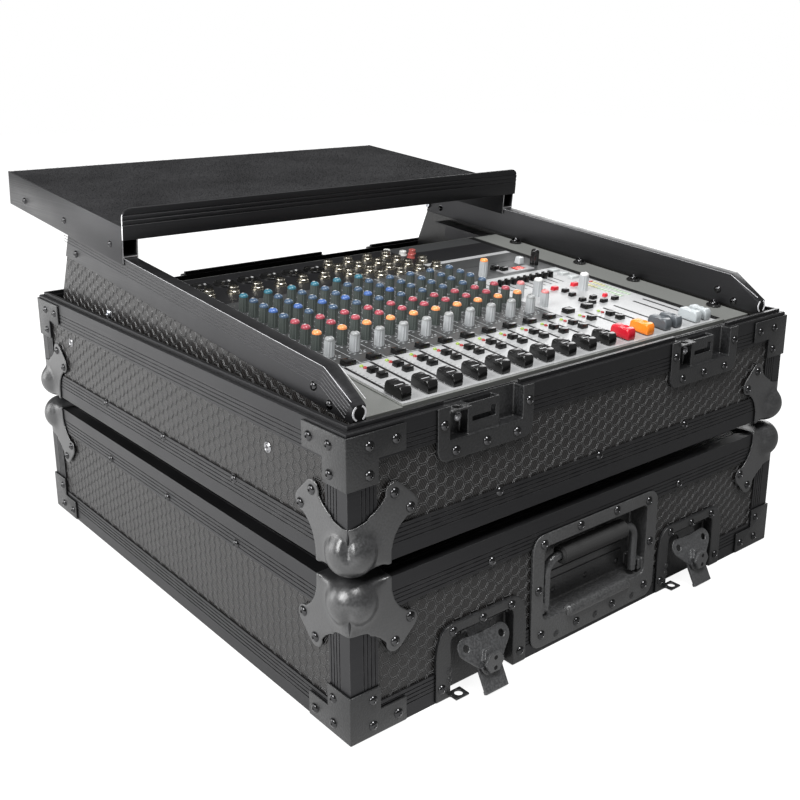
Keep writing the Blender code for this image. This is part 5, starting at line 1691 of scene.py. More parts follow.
@dataclass
class Rack:
    """The sloping rack: side boards, trims and rails, with their rivets and screws."""

    press: Press
    case: CaseFrame
    slope: Slope
    trim_rivets: tuple[Point, ...] = ((59.7, 262.3), (40.6, 253.2), (481.6, 298.8))
    zinc_screws: tuple[Point, ...] = ((413.9, 248.9),)
    inner_zinc: tuple[Point, ...] = ((505.3, 301.2),)
    trim_faces: Point = (254.5, 242.0)
    trim_top: tuple[Point, ...] = ((14.0, 262.2), (46.0, 280.3), (508.0, 324.8))
    ridge_drops: tuple[float, ...] = (4.0, 7.0, 10.0, 13.0, 16.0)
    ear_screw_x: float = 232.55
    ear_screws: tuple[float, ...] = (30.0, 131.6, 207.8, 309.4)
    head_lift: float = 1.4
    nose: Point = (13.4, 252.4)

    def dress(self) -> None:
        """Give the rack's CAD pieces their finishes."""
        dress(BOARD, "rack_side_left", "rack_side_right")
        Milled(radius=1.3, steps=4, bend=60.0).build(TRIM_METAL, "side_trim_left",
                                                     "side_trim_right")
        dress(EXTRUSION, "rack_rail_left", "rack_rail_right")
        dress(HOUSING, "rack_mixer")

    def build(self) -> None:
        """Add the trims' rivets, the boards' screws and the screws of the ears."""
        seat = Seat("tray")
        rivets: list[Spot] = []
        zinc: list[Spot] = []
        for wall in (Wall.LEFT, Wall.RIGHT):
            for found, points, x, facing, size, reach in (
                    (rivets, self.trim_rivets, 249.0, wall.facing, 0.95, 18.0),
                    (rivets, self.trim_rivets, 231.0, -wall.facing, 0.95, 18.0),
                    (zinc, self.zinc_screws, 250.0, wall.facing, 1.0, 8.0),
                    (zinc, self.inner_zinc, 245.0, -wall.facing, 1.0, 12.0)):
                for y, z in points:
                    place = self.case.at(wall.value[0] * x, y, z)
                    found.append(seat.drop(place, facing, ALONG_Y, size, reach))
        self.press.rivet("trim_rivets", rivets)
        self.press.strike("rack_zinc_screws", Shape.screw_head("zinc_screw", 4.2, 2.2), zinc, ZINC,
                          spread=60.0, seed=7)
        self.build_trim_lines()
        self.build_noses(seat)
        up = self.slope.up
        ears = [seat.drop(self.slope.at(sx * self.ear_screw_x, v, 0.0), up, ALONG_X, 1.0, 14.0)
                for sx in (-1, 1) for v in self.ear_screws]
        washer = Shape.lathe("washer", [(7.2, -0.3), (7.2, 0.5), (6.2, 1.3), (5.0, 1.6),
                                        (0.0, 1.6)], 28)
        self.press.strike("ear_washers", washer, ears, KEY_BLACK, slot="black_rubber")
        heads = [Spot(spot.place + up * self.head_lift * MM, up, ALONG_X) for spot in ears]
        self.press.strike("ear_screws", Shape.screw_head("ear_screw", 4.9, 3.1), heads,
                          RIVET_BLACK, spread=60.0, seed=9)

    def build_trim_lines(self) -> None:
        """Add the fine ridges along the trims' outer legs, coloured lighter as a painted highlight,
        and bright strips along the top edges of both legs, which are painted highlights.
        """
        outer, inner = self.trim_faces
        for name, finish, faces, drops, size in (
                ("trim_ridges", RIDGE_HIGHLIGHT_METAL, ((outer, 1),), self.ridge_drops, 0.40),
                ("trim_edges", BARE_METAL_AND_HIGHLIGHT, ((outer, 1), (inner, -1)), (0.5,), 0.16)):
            bm = bmesh.new()
            for sign in (-1, 1):
                for face, outward in faces:
                    for drop in drops:
                        self.ridge(bm, sign * face, sign * outward, drop, size)
            bmesh.ops.recalc_face_normals(bm, faces=bm.faces)
            hang(name, settle(name, bm), "tray", "black_aluminium", finish)

    def build_noses(self, seat: Seat) -> None:
        """Add the bare cut at each trim's front end, and a near-black plate in its hollow as
        painted shade.
        """
        middle = sum(self.trim_faces) / 2
        ends = [seat.drop(self.case.at(sign * middle, *self.nose), Wall.FRONT.facing, ALONG_X,
                          1.0, 8.0) for sign in (-1, 1)]
        for name, start in (("nose_cut_right", -62.0), ("nose_cut_left", 118.0)):
            arc = Shape.ring(name, 4.9, 6.2, 0.4, start, 124.0, 14)
            self.press.strike(name, arc, ends, BARE_METAL_AND_HIGHLIGHT, slot="black_aluminium")
        # A near-black plate in the nose's hollow: painted shade.
        hollow = Shape.block("nose_hollow", (6.6, 12.0, 0.12), 0.0)
        self.press.strike("nose_hollows", hollow, ends, SHADE_AND_PRINT_BLACK, slot="black_aluminium")

    def ridge(self, bm: bmesh.types.BMesh, x: float, outward: int, drop: float,
              size: float) -> None:
        """Add one ridge that follows a trim's nose, bend and slope.

        Args:
            bm: the mesh that takes it.
            x: the leg's face, in millimetres from the case's middle.
            outward: the way the leg faces along X.
            drop: how far below the trim's top it runs.
            size: its width and height.
        """
        path = []
        points = [Vector((y, z)) for y, z in self.trim_top]
        for number, point in enumerate(points):
            before = (point - points[number - 1]) if number else points[1] - point
            after = (points[number + 1] - point) if number + 1 < len(points) else before
            way = (before.normalized() + after.normalized()).normalized()
            side = Vector((way.y, -way.x))
            bend = side / max(0.3, side.dot(Vector((after.y, -after.x)).normalized()))
            path.append([point + bend * (drop + step) for step in (-size / 2, size / 2)])
        rings = []
        for low, high in path:
            rings.append([bm.verts.new(self.case.at(x + outward * lift, y, z)) for (y, z), lift in
                          ((low, -0.2), (low, 0.12), ((low + high) / 2, size), (high, 0.12),
                           (high, -0.2))])
        skin(bm, rings)


@dataclass
class Shelf:
    """The laptop shelf: carpeted board, rails and lip."""

    press: Press
    case: CaseFrame
    slope: Slope
    rivets: tuple[Point, ...] = ((608.7, 340.1), (499.8, 331.2), (391.1, 321.6))
    rail_x: float = 256.2
    fibre_length: float = 2.0
    fibre_width: float = 0.22
    density: float = 290000.0

    def dress(self) -> None:
        """Give the shelf's CAD pieces their finishes."""
        dress(CARPET, "shelf_board")
        Milled(radius=0.4).build(RAIL_METAL, "shelf_rail_left", "shelf_rail_right")
        Milled(radius=0.4).build(LIP_METAL, "shelf_front_lip")

    def build(self) -> None:
        """Add the carpet's pile and the rivets of the rails."""
        seat = Seat("shelf")
        spots = []
        for wall in (Wall.LEFT, Wall.RIGHT):
            for y, z in self.rivets:
                place = self.case.at(wall.value[0] * self.rail_x, y, z)
                spots.append(seat.drop(place, wall.facing, self.slope.along, 0.9, 10.0))
        self.press.rivet("shelf_rivets", spots, "shelf")
        bm = bmesh.new()
        wide = self.fibre_width / 2
        base = [bm.verts.new((wide * math.cos(a), wide * math.sin(a), -0.2))
                for a in (0.0, 2.1, 4.2)]
        tip = bm.verts.new((0.25 * self.fibre_length, 0.0, self.fibre_length))
        skin(bm, [base, [tip]])
        fibre = self.press.template(Shape.finish("fibre", bm))
        host = self.press.template(bpy.data.meshes.new("pile"))
        density = self.density * 1.0
        values = {"Board": frame["nodes"]["shelf_board"], "Fibre": fibre,
                  "Finish": FIBRE.material(), "Upwards": self.slope.up, "Density": density}
        Press.bake("carpet_pile", host, self.press.pile, values, "shelf", "carpeted_plywood")
        bpy.data.objects.remove(fibre)


# The mixer


def rectangle(x0: float, x1: float, v0: float, v1: float) -> list[Point]:
    """Return the corners of a rectangle on the panel."""
    return [(x0, v0), (x1, v0), (x1, v1), (x0, v1)]


@dataclass
class Mixer:
    """The rack mixer's face: panels, strips, sockets and the main section.

    Positions are (u, v): u from the left end of the panel, v back from its front edge.
    """

    press: Press
    slope: Slope
    origin: float = -195.0
    pitch: float = 26.1
    strips: int = 10
    knob_u: float = 6.8
    panel_right: float = 386.0
    body_right: float = 396.0
    band: float = 80.0
    main_left: float = 260.0
    main_back: float = 207.0
    body_back: float = 350.0
    plate_top: float = 0.5
    plate_bevel: float = 0.15
    seam: float = 0.4
    fader_slots: tuple[float, ...] = (2, 28, 54, 80, 106, 132, 158, 185, 211, 237, 263, 290,
                                      316, 332, 362, 377)
    fader_v: float = 12.2

    def spot(self, u: float, v: float) -> Spot:
        """Return a spot on the plates."""
        return self.slope.spot(self.origin + u, v, self.plate_top)

    def column(self, k: float) -> float:
        """Return where the knobs of one strip stand across the panel."""
        return self.knob_u + self.pitch * k

    def strike(self, name: str, shape: bpy.types.Mesh, places: Iterable[Point | Spot],
               finish: Finish, slot: str = "black_rubber", spread: float = 0.0) -> None:
        """Stamp a shape on the mixer.

        Args:
            name: name of the piece.
            shape: the shape's mesh.
            places: where it goes, each as (u, v) or as a spot.
            finish: its finish.
            slot: the record's material slot.
            spread: how far each is turned at random, in degrees to either side.
        """
        spots = [place if isinstance(place, Spot) else self.spot(*place) for place in places]
        self.press.strike(name, shape, spots, finish, "tray", slot, spread)

    def mark(self, name: str, label: str, size: Triple,
              places: Iterable[Point], finish: Finish) -> None:
        """Put one small printed mark on many places.

        Args:
            name: name of the piece.
            label: name of the mark's mesh.
            size: width, length and height of the mark.
            places: where it goes, each as (u, v).
            finish: its finish.
        """
        shape = Shape.block(label, size, 0.0, sink=0.05)
        self.strike(name, shape, places, finish, "mixer_steel")

    def plate(self, name: str, points: Sequence[Point], finish: Finish,
              top: float | None = None) -> None:
        """Lay one thin plate with a bevelled upper rim on the panel.

        Args:
            name: name of the piece.
            points: its outline, each point as (u, v).
            finish: its finish.
            top: its height above the panel, if it isn't that of the other plates.
        """
        top = self.plate_top if top is None else top
        bm = bmesh.new()
        caps = skin(bm, [[bm.verts.new(self.slope.at(self.origin + u, v, lift)) for u, v in points]
                         for lift in (-0.3, top)])
        bmesh.ops.bevel(bm, geom=list(caps[1].edges), offset=self.plate_bevel * MM, segments=2,
                        affect="EDGES")
        bmesh.ops.recalc_face_normals(bm, faces=bm.faces)
        hang(name, settle(name, bm), "tray", "mixer_steel", finish)

    def build(self) -> None:
        """Build the whole face in order."""
        self.build_panels()
        self.build_prints()
        self.build_faders()
        self.build_strip_keys()
        self.build_knobs()
        self.build_sockets()
        self.build_main_section()

    def build_panels(self) -> None:
        """Lay the silver, grey and black areas of the face."""
        left, right, front, back = -4.0, self.panel_right, -1.5, self.body_back
        corner, seam = self.main_left, self.seam
        silver = [(left, front), (right, front), (right, self.main_back), (corner, self.main_back),
                  (corner, self.band), (left, self.band)]
        self.plate("mixer_silver_panel", silver, SILVER_PANEL)
        for name, start, low, high, finish in (
                ("mixer_grey_panel", left, self.band, 266.0, GREY_PANEL),
                ("mixer_socket_field", left, 266.0, back, BLACK_PANEL),
                ("mixer_display_field", corner, self.main_back, 250.0, GREY_PANEL),
                ("mixer_grey_band", corner, 250.0, 276.0, GREY_PANEL),
                ("mixer_pale_band", corner, 276.0, 284.0, SILVER_PANEL),
                ("mixer_bare_field", corner, 284.0, 325.0, BLACK_PANEL),
                ("mixer_rear_band", corner, 325.0, back, GREY_PANEL)):
            stop = corner - seam if start == left else right
            self.plate(name, rectangle(start, stop, low + seam, high), finish)
        # The groove along the right edge is a near-black strip: painted shade in the groove.
        self.plate("mixer_edge_groove", rectangle(right + seam, self.body_right, 0.6, back),
                   SHADE_AND_PRINT_BLACK, 0.2)

    def build_prints(self) -> None:
        """Add the printed rings, scales and dividing lines."""
        strips = range(self.strips)
        knobs = [(self.column(k), v) for k in strips for v in self.knob_rows(k)]
        arc = Shape.ring("print_arc", 5.7, 6.1, 0.06, -60.0, 300.0, 20)
        self.strike("printed_rings", arc, knobs, PRINT, "mixer_steel")
        self.mark("printed_lines", "print_line", (0.45, 182.0, 0.07),
                   [(self.column(k + 0.52), 173.0) for k in strips], PRINT)
        self.mark("printed_ticks", "print_tick", (2.0, 0.35, 0.07),
                   [(u + 3.2, v) for u in self.fader_slots[:12] for v in range(28, 74, 5)],
                   SHADE_AND_PRINT_BLACK)
        self.mark("printed_notes", "print_note", (2.3, 0.8, 0.07),
                   [(u + du, v + dv) for u, v in knobs for du, dv in
                    ((-7.6, -4.0), (7.6, -4.0), (-5.2, -7.4), (5.2, -7.4), (0.0, -8.4))], PRINT)
        self.mark("printed_border", "print_border", (258.0, 0.6, 0.08),
                   [(self.main_left / 2 - 2, self.band + 1.4)], PRINT)

    def knob_rows(self, k: int) -> list[float]:
        """Return where the knobs of one strip stand, from the front."""
        rows = [107.0, 125.0, 141.0, 157.0, 174.0, 191.0, 206.0, 223.0]
        return rows + [240.0] if k < 6 else rows

    def build_faders(self) -> None:
        """Add the fader slots and their caps."""
        # The slots are thin near-black strips: painted shade in place of openings.
        self.strike("fader_slots", Shape.block("fader_slot", (2.8, 56.0, 0.12), 0.0),
                    [(u, 51.0) for u in self.fader_slots], SHADE_AND_PRINT_BLACK, "mixer_steel")
        outline = [(-10.4, 0.6), (10.4, 0.6), (10.8, 3.5), (10.3, 8.2), (8.8, 10.4), (6.2, 11.0),
                   (3.6, 10.3), (1.1, 8.8), (-1.1, 8.8), (-3.6, 10.3), (-6.2, 11.0),
                   (-8.8, 10.4), (-10.3, 8.2), (-10.8, 3.5)]
        cap = Shape.profile_bar("fader_cap", outline, 10.6, 1.5, 3)
        slim = Shape.profile_bar("slim_fader_cap", outline, 9.4, 1.4, 3)
        red = Moulded("fader_red", colour=(0.55, 0.010, 0.025), rough=0.25)
        orange = Moulded("fader_orange", colour=(0.92, 0.24, 0.015), rough=0.28)
        grey = Moulded("fader_grey", colour=(0.085, 0.095, 0.105), rough=0.32)
        pale = Moulded("fader_pale", colour=(0.40, 0.43, 0.44), rough=0.34)
        places = [(u, self.fader_v) for u in self.fader_slots]
        for name, start, stop, shape, finish in (("black_faders", 0, 10, cap, KEY_BLACK),
                                                 ("red_fader", 10, 11, cap, red),
                                                 ("orange_fader", 11, 12, cap, orange),
                                                 ("grey_faders", 12, 14, slim, grey),
                                                 ("pale_faders", 14, 16, slim, pale)):
            self.strike(name, shape, places[start:stop], finish)
        self.strike("fader_lines", Shape.block("cap_line", (9.6, 0.9, 9.05), 0.0), places[:10],
                    Moulded("line_grey", colour=(0.42, 0.42, 0.43), rough=0.4))

    def build_strip_keys(self) -> None:
        """Add the lamps and the keys beside the faders."""
        strips = self.fader_slots[:12]
        lamp = Shape.lathe("lamp", [(1.75, -0.2), (1.75, 0.7), (1.25, 1.4), (0.0, 1.7)], 14)
        self.strike("green_lamps", lamp, [(u + 13.2, 74.0) for u in strips],
                    Moulded("lamp_green", colour=(0.27, 0.38, 0.07), rough=0.2))
        self.strike("red_lamps", lamp, [(u + 13.5, 69.5) for u in strips],
                    Moulded("lamp_red", colour=(0.32, 0.03, 0.03), rough=0.2))
        keys = [(u + 14.0, 60.5) for u in strips]
        keys += [(u + 14.0, 48.5) for i, u in enumerate(strips) if i != 10]
        self.strike("strip_keys", Shape.block("strip_key", (8.2, 6.4, 4.2), 0.35, 2, 0.25), keys,
                    KEY_BLACK)
        mutes = [(self.column(k) + 2.4, 84.0) for k in range(self.strips)]
        self.strike("mute_keys", Shape.block("mute_key", (11.2, 8.2, 4.2), 0.4, 2, 0.3),
                    mutes + [(274.0, 87.0), (302.0, 88.0)], KEY_BLACK)

    def knob(self, name: str, places: Sequence[Point], body: Finish, cap: Finish, pointer: Finish,
             height: float = 14.0, radius: float = 4.6) -> None:
        """Add a set of knobs: ribbed body, domed cap and pointer.

        Args:
            name: name of the set.
            places: where they stand.
            body: finish of the body.
            cap: finish of the cap.
            pointer: finish of the pointer.
            height: height of the body.
            radius: radius of the body at its foot.
        """
        profile = [(radius, -0.3), (radius, 0.6), (radius - 0.2, height - 0.7),
                   (radius - 0.5, height), (0.0, height)]
        shape = Shape.lathe(name + "_body", profile, 24, 0.6, (0, 1, 2))
        self.strike(name + "_bodies", shape, places, body, spread=30.0)
        r = radius - 0.45
        dome = [(share * r, height + rise) for share, rise in
                ((1.0, -0.2), (0.98, 0.9), (0.85, 1.9), (0.6, 2.6), (0.3, 2.9), (0.0, 3.0))]
        self.strike(name + "_caps", Shape.lathe(name + "_cap", dome, 20), places, cap)
        side = [(0.2, height), (r + 0.15, height), (r + 0.12, height + 0.95),
                (0.87 * r, height + 2.0), (0.62 * r, height + 2.7), (0.2, height + 3.1)]
        self.strike(name + "_marks", Shape.profile_bar(name + "_mark", side, 1.7, 0.0), places,
                    pointer)

    def build_knobs(self) -> None:
        """Add the knobs of the strips, row by row."""
        white = Moulded("pointer_white", colour=(0.75, 0.76, 0.76), rough=0.4)
        dark = Moulded("pointer_dark", colour=(0.02, 0.02, 0.022), rough=0.4)
        caps = {tone: Moulded("cap_" + tone, colour=colour, rough=0.3 if tone == "silver" else 0.25)
                for tone, colour in (("navy", (0.050, 0.085, 0.14)), ("blue", (0.055, 0.12, 0.33)),
                                     ("red", (0.33, 0.060, 0.080)), ("orange", (0.75, 0.27, 0.095)),
                                     ("teal", (0.030, 0.13, 0.18)), ("silver", (0.26, 0.27, 0.27)))}
        strips, first, last = range(self.strips), range(6), range(6, 10)
        for name, rows, numbers, tone in (("level_knobs", (107.0,), strips, "silver"),
                                          ("orange_knobs", (125.0,), strips, "orange"),
                                          ("red_knobs", (141.0, 157.0), strips, "red"),
                                          ("navy_knobs", (174.0, 206.0, 223.0), strips, "navy"),
                                          ("blue_knobs", (191.0,), first, "blue"),
                                          ("plain_blue_knobs", (191.0,), last, "navy"),
                                          ("teal_knobs", (240.0,), first, "teal")):
            level = tone == "silver"
            self.knob(name, [(self.column(k), v) for k in numbers for v in rows],
                      KNOB_SILVER if level else KNOB_GREY, caps[tone], dark if level else white)

    def build_sockets(self) -> None:
        """Add the round microphone sockets and the jack sockets at the back."""
        centres = [self.spot(8.3 + 26.5 * k, 321.0) for k in range(6)]
        rim = Shape.lathe("socket_rim", [(11.4, -0.2), (11.4, 1.4), (10.6, 2.0), (9.4, 2.0),
                                         (8.8, 0.7), (0.0, 0.7)], 32)
        self.strike("socket_rims", rim, centres, KEY_BLACK)
        holes = []
        for spot in centres:
            for turn in (90.0, 210.0, 330.0):
                a = math.radians(turn)
                offset = ALONG_X * math.cos(a) + self.slope.along * math.sin(a)
                place = spot.place + offset * 4.2 * MM + self.slope.up * 0.6 * MM
                holes.append(Spot(place, spot.facing, spot.side))
        contact = Shape.lathe("contact", [(1.3, -0.1), (1.3, 0.35), (0.8, 0.4), (0.0, 0.2)], 12)
        self.strike("socket_contacts", contact, holes, NICKEL)
        jacks = [(0.6 + 26.6 * k, 292.0) for k in range(6)]
        jacks += [(self.column(k) - 0.8, v) for k in range(6, 10)
                  for v in (269.0, 288.0, 307.0, 326.0)]
        jacks += [(264.0, 268.0), (264.4, 291.8)]
        nut = Shape.lathe("jack_nut", [(6.8, -0.2), (6.8, 0.9), (6.0, 1.0), (6.0, 3.0), (5.6, 3.4),
                                       (4.8, 3.4), (4.8, 6.6), (4.4, 7.2), (3.6, 7.2), (3.5, 3.8),
                                       (0.0, 3.8)], 20)
        self.strike("jack_sockets", nut, jacks, NICKEL, "mixer_steel", 30.0)
        # The throat is a near-black plug: painted shade in place of the jack's hole.
        throat = Shape.lathe("jack_throat", [(3.4, 3.0), (3.4, 5.4), (0.0, 5.4)], 14)
        self.strike("jack_throats", throat, jacks, SHADE_AND_PRINT_BLACK)
        cinch = Shape.lathe("cinch", [(4.6, -0.2), (4.6, 1.0), (3.9, 1.2), (3.9, 4.7), (3.5, 5.1),
                                      (2.4, 5.1), (2.4, 3.4), (0.0, 3.4)], 18)
        for name, places, colour in (("white_cinch", ((251.0, 337.0), (263.9, 324.4)),
                                      (0.62, 0.62, 0.60)),
                                     ("red_cinch", ((264.6, 311.0), (277.4, 324.4)),
                                      (0.35, 0.08, 0.07))):
            self.strike(name, cinch, places, Moulded(name + "_plastic", colour=colour, rough=0.3))

    def build_main_section(self) -> None:
        """Add the equaliser, the display, the meters and the main knobs and keys."""
        bands = [267.5 + 9.2 * i for i in range(10)]
        # The band slots are thin near-black strips: painted shade in place of openings.
        self.strike("band_slots", Shape.block("band_slot", (1.3, 36.0, 0.12), 0.0),
                    [(u, 180.0) for u in bands], SHADE_AND_PRINT_BLACK, "mixer_steel")
        self.strike("band_caps", Shape.block("band_cap", (4.6, 6.4, 6.6), 0.5, 2, 0.4),
                    [(u, 182.0) for u in bands], KEY_BLACK)
        self.build_display()
        white = Moulded("cap_white", colour=(0.62, 0.63, 0.62), rough=0.3)
        pink = Moulded("cap_pink", colour=(0.60, 0.20, 0.20), rough=0.3)
        amber = Moulded("cap_amber", colour=(0.90, 0.30, 0.08), rough=0.3)
        mark = Moulded("main_pointer", colour=(0.05, 0.05, 0.055), rough=0.4)
        for name, places, body, cap, height, radius in (
                ("phones_knob", ((285.6, 217.7),), KNOB_SILVER, amber, 17.0, 4.6),
                ("send_knob", ((267.3, 145.6),), KNOB_SILVER, pink, 14.0, 4.4),
                ("white_knobs", ((287.1, 140.4), (345.0, 131.0)), KNOB_SILVER, white, 16.0, 5.0),
                ("pink_knob", ((267.7, 112.9),), KNOB_SILVER, pink, 14.0, 4.4),
                ("program_knob", ((371.0, 225.0),), KEY_BLACK, KEY_BLACK, 15.0, 4.8)):
            self.knob(name, places, body, cap, mark, height, radius)
        wide = Shape.block("main_key", (8.0, 5.0, 3.6), 0.5, 2, 0.35)
        small = Shape.block("small_key", (5.0, 4.0, 3.4), 0.5, 2, 0.3)
        flat = Shape.block("grey_key", (12.0, 8.0, 2.4), 0.6, 2, 0.4)
        black = ((323, 135), (319, 122), (315, 105), (331, 105), (317, 94), (332, 92), (349, 92))
        red = Moulded("key_red", colour=(0.60, 0.02, 0.035), rough=0.28)
        grey = Moulded("key_grey", colour=(0.42, 0.44, 0.44), rough=0.35)
        self.strike("main_keys", wide, black, KEY_BLACK)
        self.strike("red_keys", wide, [(319.0, 146.0), (349.0, 146.0)], red)
        self.strike("small_red_keys", small, [(348.0, 104.0)], red)
        self.strike("grey_keys", flat, [(372.0, v) for v in (196.0, 182.0, 168.0)], grey)
        self.build_meters()

    def build_display(self) -> None:
        """Add the effect display with its lit window."""
        self.strike("display_frame", Shape.block("display_frame", (46.0, 14.0, 1.0), 0.5, 2, 0.3),
                    [(337.0, 220.0)], Moulded("display_grey", colour=(0.30, 0.30, 0.305)),
                    "mixer_steel")
        window = Shape.block("display_window", (16.0, 10.0, 1.25), 0.3, 2, 0.2)
        self.strike("display_window", window, [(342.0, 221.0)],
                    Moulded("display_red", colour=(0.28, 0.012, 0.008), rough=0.15, glow=0.35))
        digit = Moulded("digit_red", colour=(0.95, 0.06, 0.03), rough=0.3, glow=0.8)
        digits = (339.0, 345.0)
        self.strike("digit_bars", Shape.block("digit_bar", (2.6, 0.7, 1.32), 0.0),
                    [(u, v) for u in digits for v in (217.5, 221.0, 224.5)], digit)
        self.strike("digit_posts", Shape.block("digit_post", (0.7, 2.6, 1.32), 0.0),
                    [(u + aside, v) for u in digits for aside in (-1.7, 1.7)
                     for v in (219.3, 222.7)], digit)
        self.strike("display_keys", Shape.block("display_key", (9.0, 6.0, 4.8), 0.5, 2, 0.4),
                    [(316.0, 231.0), (321.0, 222.0)], KEY_BLACK)
        self.strike("pale_key", Shape.block("pale_key", (8.0, 8.0, 7.0), 0.8, 3, 0.6),
                    [(361.0, 238.0)], KNOB_SILVER)

    def build_meters(self) -> None:
        """Add the two columns of meter lamps."""
        lamp = Shape.block("meter_lamp", (5.0, 2.4, 0.9), 0.25, 1, 0.1)
        for tone, start, stop, colour in (("green", 0, 8, (0.46, 0.57, 0.43)),
                                          ("yellow", 8, 12, (0.62, 0.60, 0.33)),
                                          ("red", 12, 13, (0.45, 0.10, 0.08))):
            places = [(u, 97.0 + 4.2 * i) for u in (365.0, 377.0) for i in range(start, stop)]
            self.strike(f"meter_{tone}_lamps", lamp, places,
                        Moulded("meter_" + tone, colour=colour, rough=0.25))


# The studio

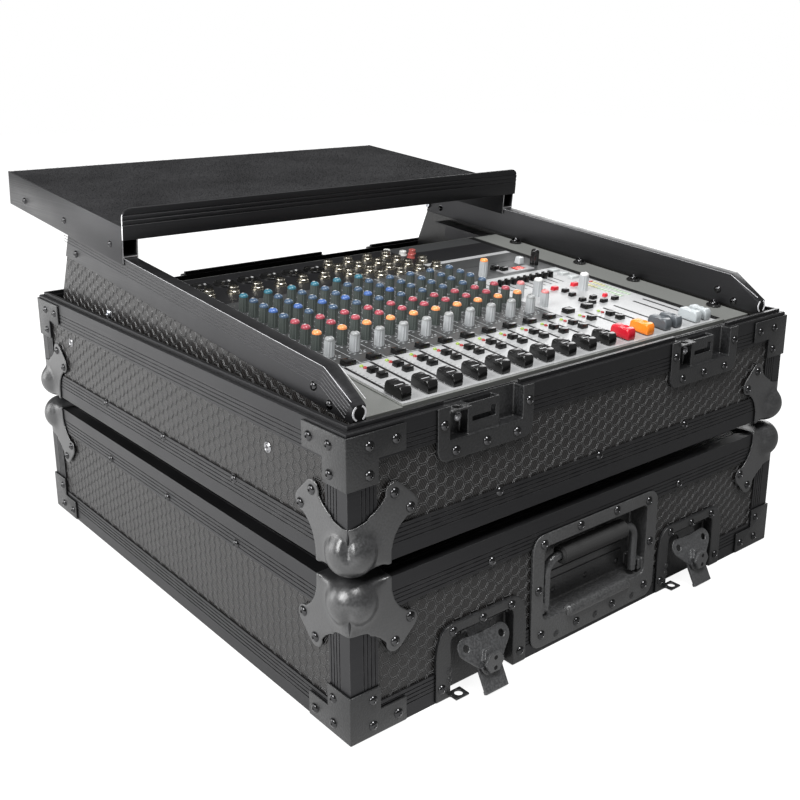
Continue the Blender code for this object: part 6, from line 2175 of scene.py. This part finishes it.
@dataclass
class Studio:
    """Floor, lights and camera."""

    place: Triple = (-0.6584, -0.8485, 0.4924)
    forward: Triple = (0.5995, 0.7516, -0.2752)
    roll: float = -0.36
    lens: float = 46.61
    shift: Point = (0.0177, -0.0611)
    ambient: float = 0.22
    sky_mirrored: float = 0.09
    floor_mirrored: Point = (1.4, 0.06)
    floor_size: float = 12.0
    floor_glow: float = 0.91

    def build(self) -> None:
        """Set up the whole studio."""
        scene = bpy.context.scene
        scene.view_settings.view_transform = "Standard"
        self.build_world(scene)
        self.build_floor()
        self.build_lights()
        self.build_camera(scene)

    @staticmethod
    def seen(graph: Graph, mirrored: object) -> Socket:
        """Return how white the background is: 1 to the camera, less in a reflection.

        Args:
            graph: the tree that asks.
            mirrored: how white it is in a reflection, as a number or a socket.

        Returns:
            The socket.
        """
        path = graph.add("ShaderNodeLightPath").outputs
        direct = graph.math("MAXIMUM", path["Is Camera Ray"], path["Is Transmission Ray"])
        return graph.math("MAXIMUM", direct, graph.math("MULTIPLY", path["Is Glossy Ray"],
                                                        mirrored))

    def build_world(self, scene: bpy.types.Scene) -> None:
        """Make a soft grey world that the camera sees as white.

        Args:
            scene: the scene.
        """
        world = bpy.data.worlds.new("studio")
        world.use_nodes = True
        world.node_tree.nodes.clear()
        graph = Graph(world.node_tree)
        seen = self.seen(graph, self.sky_mirrored)
        strength = graph.math("MAXIMUM", seen, self.ambient)
        sky = graph.add("ShaderNodeBackground", {"Color": rgba(WHITE), "Strength": strength})
        graph.add("ShaderNodeOutputWorld", {"Surface": sky.outputs[0]})
        scene.world = world

    def build_floor(self) -> None:
        """Lay the pale floor, white to the camera but for the object's shadow; to reflections it
        glows brighter at the left than at the right, a painted reflection.
        """
        half = self.floor_size / 2
        mesh = bpy.data.meshes.new("studio_floor")
        mesh.from_pydata([(-half, -half, 0.0), (half, -half, 0.0), (half, half, 0.0),
                          (-half, half, 0.0)], [], [(0, 1, 2, 3)])
        floor = bpy.data.objects.new("studio_floor", mesh)
        bpy.context.scene.collection.objects.link(floor)
        surface = Surface("studio_floor")
        graph = surface.graph
        clouds = surface.effect(Effect.GRAIN, Scale=300.0).outputs["Clouds"]
        tone = graph.blend(clouds, times(WHITE, 0.19), times(WHITE, 0.21))
        reach = graph.vector("LENGTH", surface.place).outputs["Value"]
        near = graph.ramp(reach, 0.7, 2.0, self.floor_glow, 1.0)
        side = graph.parts(surface.place)[0]
        # In reflections the floor glows brighter at the left than at the right: a painted
        # reflection of light on the key's side.
        mirrored = graph.ramp(side, -0.5, 0.1, *self.floor_mirrored)
        glow = graph.math("MULTIPLY", self.seen(graph, mirrored), near)
        surface.set(Base_Color=tone, Roughness=0.8, Specular_IOR_Level=0.0,
                    Emission_Color=WHITE, Emission_Strength=glow)
        surface.material.cycles.emission_sampling = "NONE"
        floor.data.materials.append(surface.material)

    def build_lights(self) -> None:
        """Hang the key light at the left, one behind it, one above the front, one at the right."""
        self.lamp("key_light", (-2.2, -0.35, 1.6), (0.0, -0.05, 0.15), 1.3, 72.0)
        self.lamp("edge_light", (-2.2, 2.0, 0.7), (-0.2, 0.0, 0.15), 1.5, 32.0)
        self.lamp("spark_light", (-0.1, -1.0, 2.6), (0.0, -0.1, 0.2), 1.0, 75.0)
        self.lamp("fill_light", (2.3, 0.9, 1.1), (0.1, 0.0, 0.15), 1.5, 26.0)

    @staticmethod
    def lamp(name: str, place: Triple, aim: Triple,
             size: float, power: float) -> None:
        """Hang one square soft light.

        Args:
            name: name of the light.
            place: where it hangs.
            aim: where it points.
            size: length of its side in metres.
            power: its power in watts.
        """
        data = bpy.data.lights.new(name, "AREA")
        data.size = size
        data.energy = power
        light = bpy.data.objects.new(name, data)
        light.location = place
        direction = Vector(aim) - Vector(place)
        light.rotation_euler = direction.to_track_quat("-Z", "Y").to_euler()
        bpy.context.scene.collection.objects.link(light)

    def build_camera(self, scene: bpy.types.Scene) -> None:
        """Put the camera where the photograph was taken from.

        Args:
            scene: the scene that looks through it.
        """
        data = bpy.data.cameras.new("camera")
        data.lens = self.lens
        data.sensor_width = 36.0
        data.shift_x, data.shift_y = self.shift
        data.clip_start = 0.01
        camera = bpy.data.objects.new("camera", data)
        forward = Vector(self.forward).normalized()
        right = forward.cross(UP).normalized()
        top = right.cross(forward)
        turn = math.radians(self.roll)
        level = right * math.cos(turn) + top * math.sin(turn)
        upright = top * math.cos(turn) - right * math.sin(turn)
        matrix = Matrix((level, upright, -forward)).transposed().to_4x4()
        matrix.translation = Vector(self.place)
        camera.matrix_world = matrix
        scene.collection.objects.link(camera)
        scene.camera = camera


def main() -> None:
    """Build the whole scene in order."""
    logging.basicConfig(level=logging.INFO, format="%(name)s: %(message)s")
    Studio().build()
    case = CaseFrame()
    slope = Slope(case)
    press = Press()
    lid = Lid(press, case, body="lid", frame_z=104.5,
              level={Wall.FRONT: (-127.7, 115.2), Wall.BACK: (-121.0, 0.0, 121.0),
                     Wall.LEFT: (-121.3, 0.0, 121.3), Wall.RIGHT: (-121.3, 0.0, 121.3)},
              brace=((44.0, 9.7), (19.8, 31.3), (19.8, 9.7)), ball_edge=BALL_EDGES[0],
              ball_inward=-1, cells_z=(21.0, 105.0), flat_panel="top", flat_z=124.2)
    tray = Tray(press, case, body="tray", frame_z=162.5,
                level={Wall.FRONT: (-121.1, -2.1, 117.5), Wall.BACK: (-121.0, 0.0, 121.0),
                       Wall.LEFT: (-122.6, -1.1, 122.6), Wall.RIGHT: (-122.6, 0.0, 122.6)},
                brace=((43.0, 233.0), (19.0, 233.0), (18.7, 211.2)), ball_edge=BALL_EDGES[1],
                ball_inward=1, cells_z=(160.0, 225.0), flat_panel="floor", flat_z=141.2)
    for half in (lid, tray):
        half.dress()
        half.build()
    Latches(press).dress()
    CarryHandle().dress()
    for part in (Rack(press, case, slope), Shelf(press, case, slope)):
        part.dress()
        part.build()
    Mixer(press, slope).build()
    for tree in (press.stamps, press.relief, press.pile):
        bpy.data.node_groups.remove(tree)


if __name__ == "__main__":
    main()
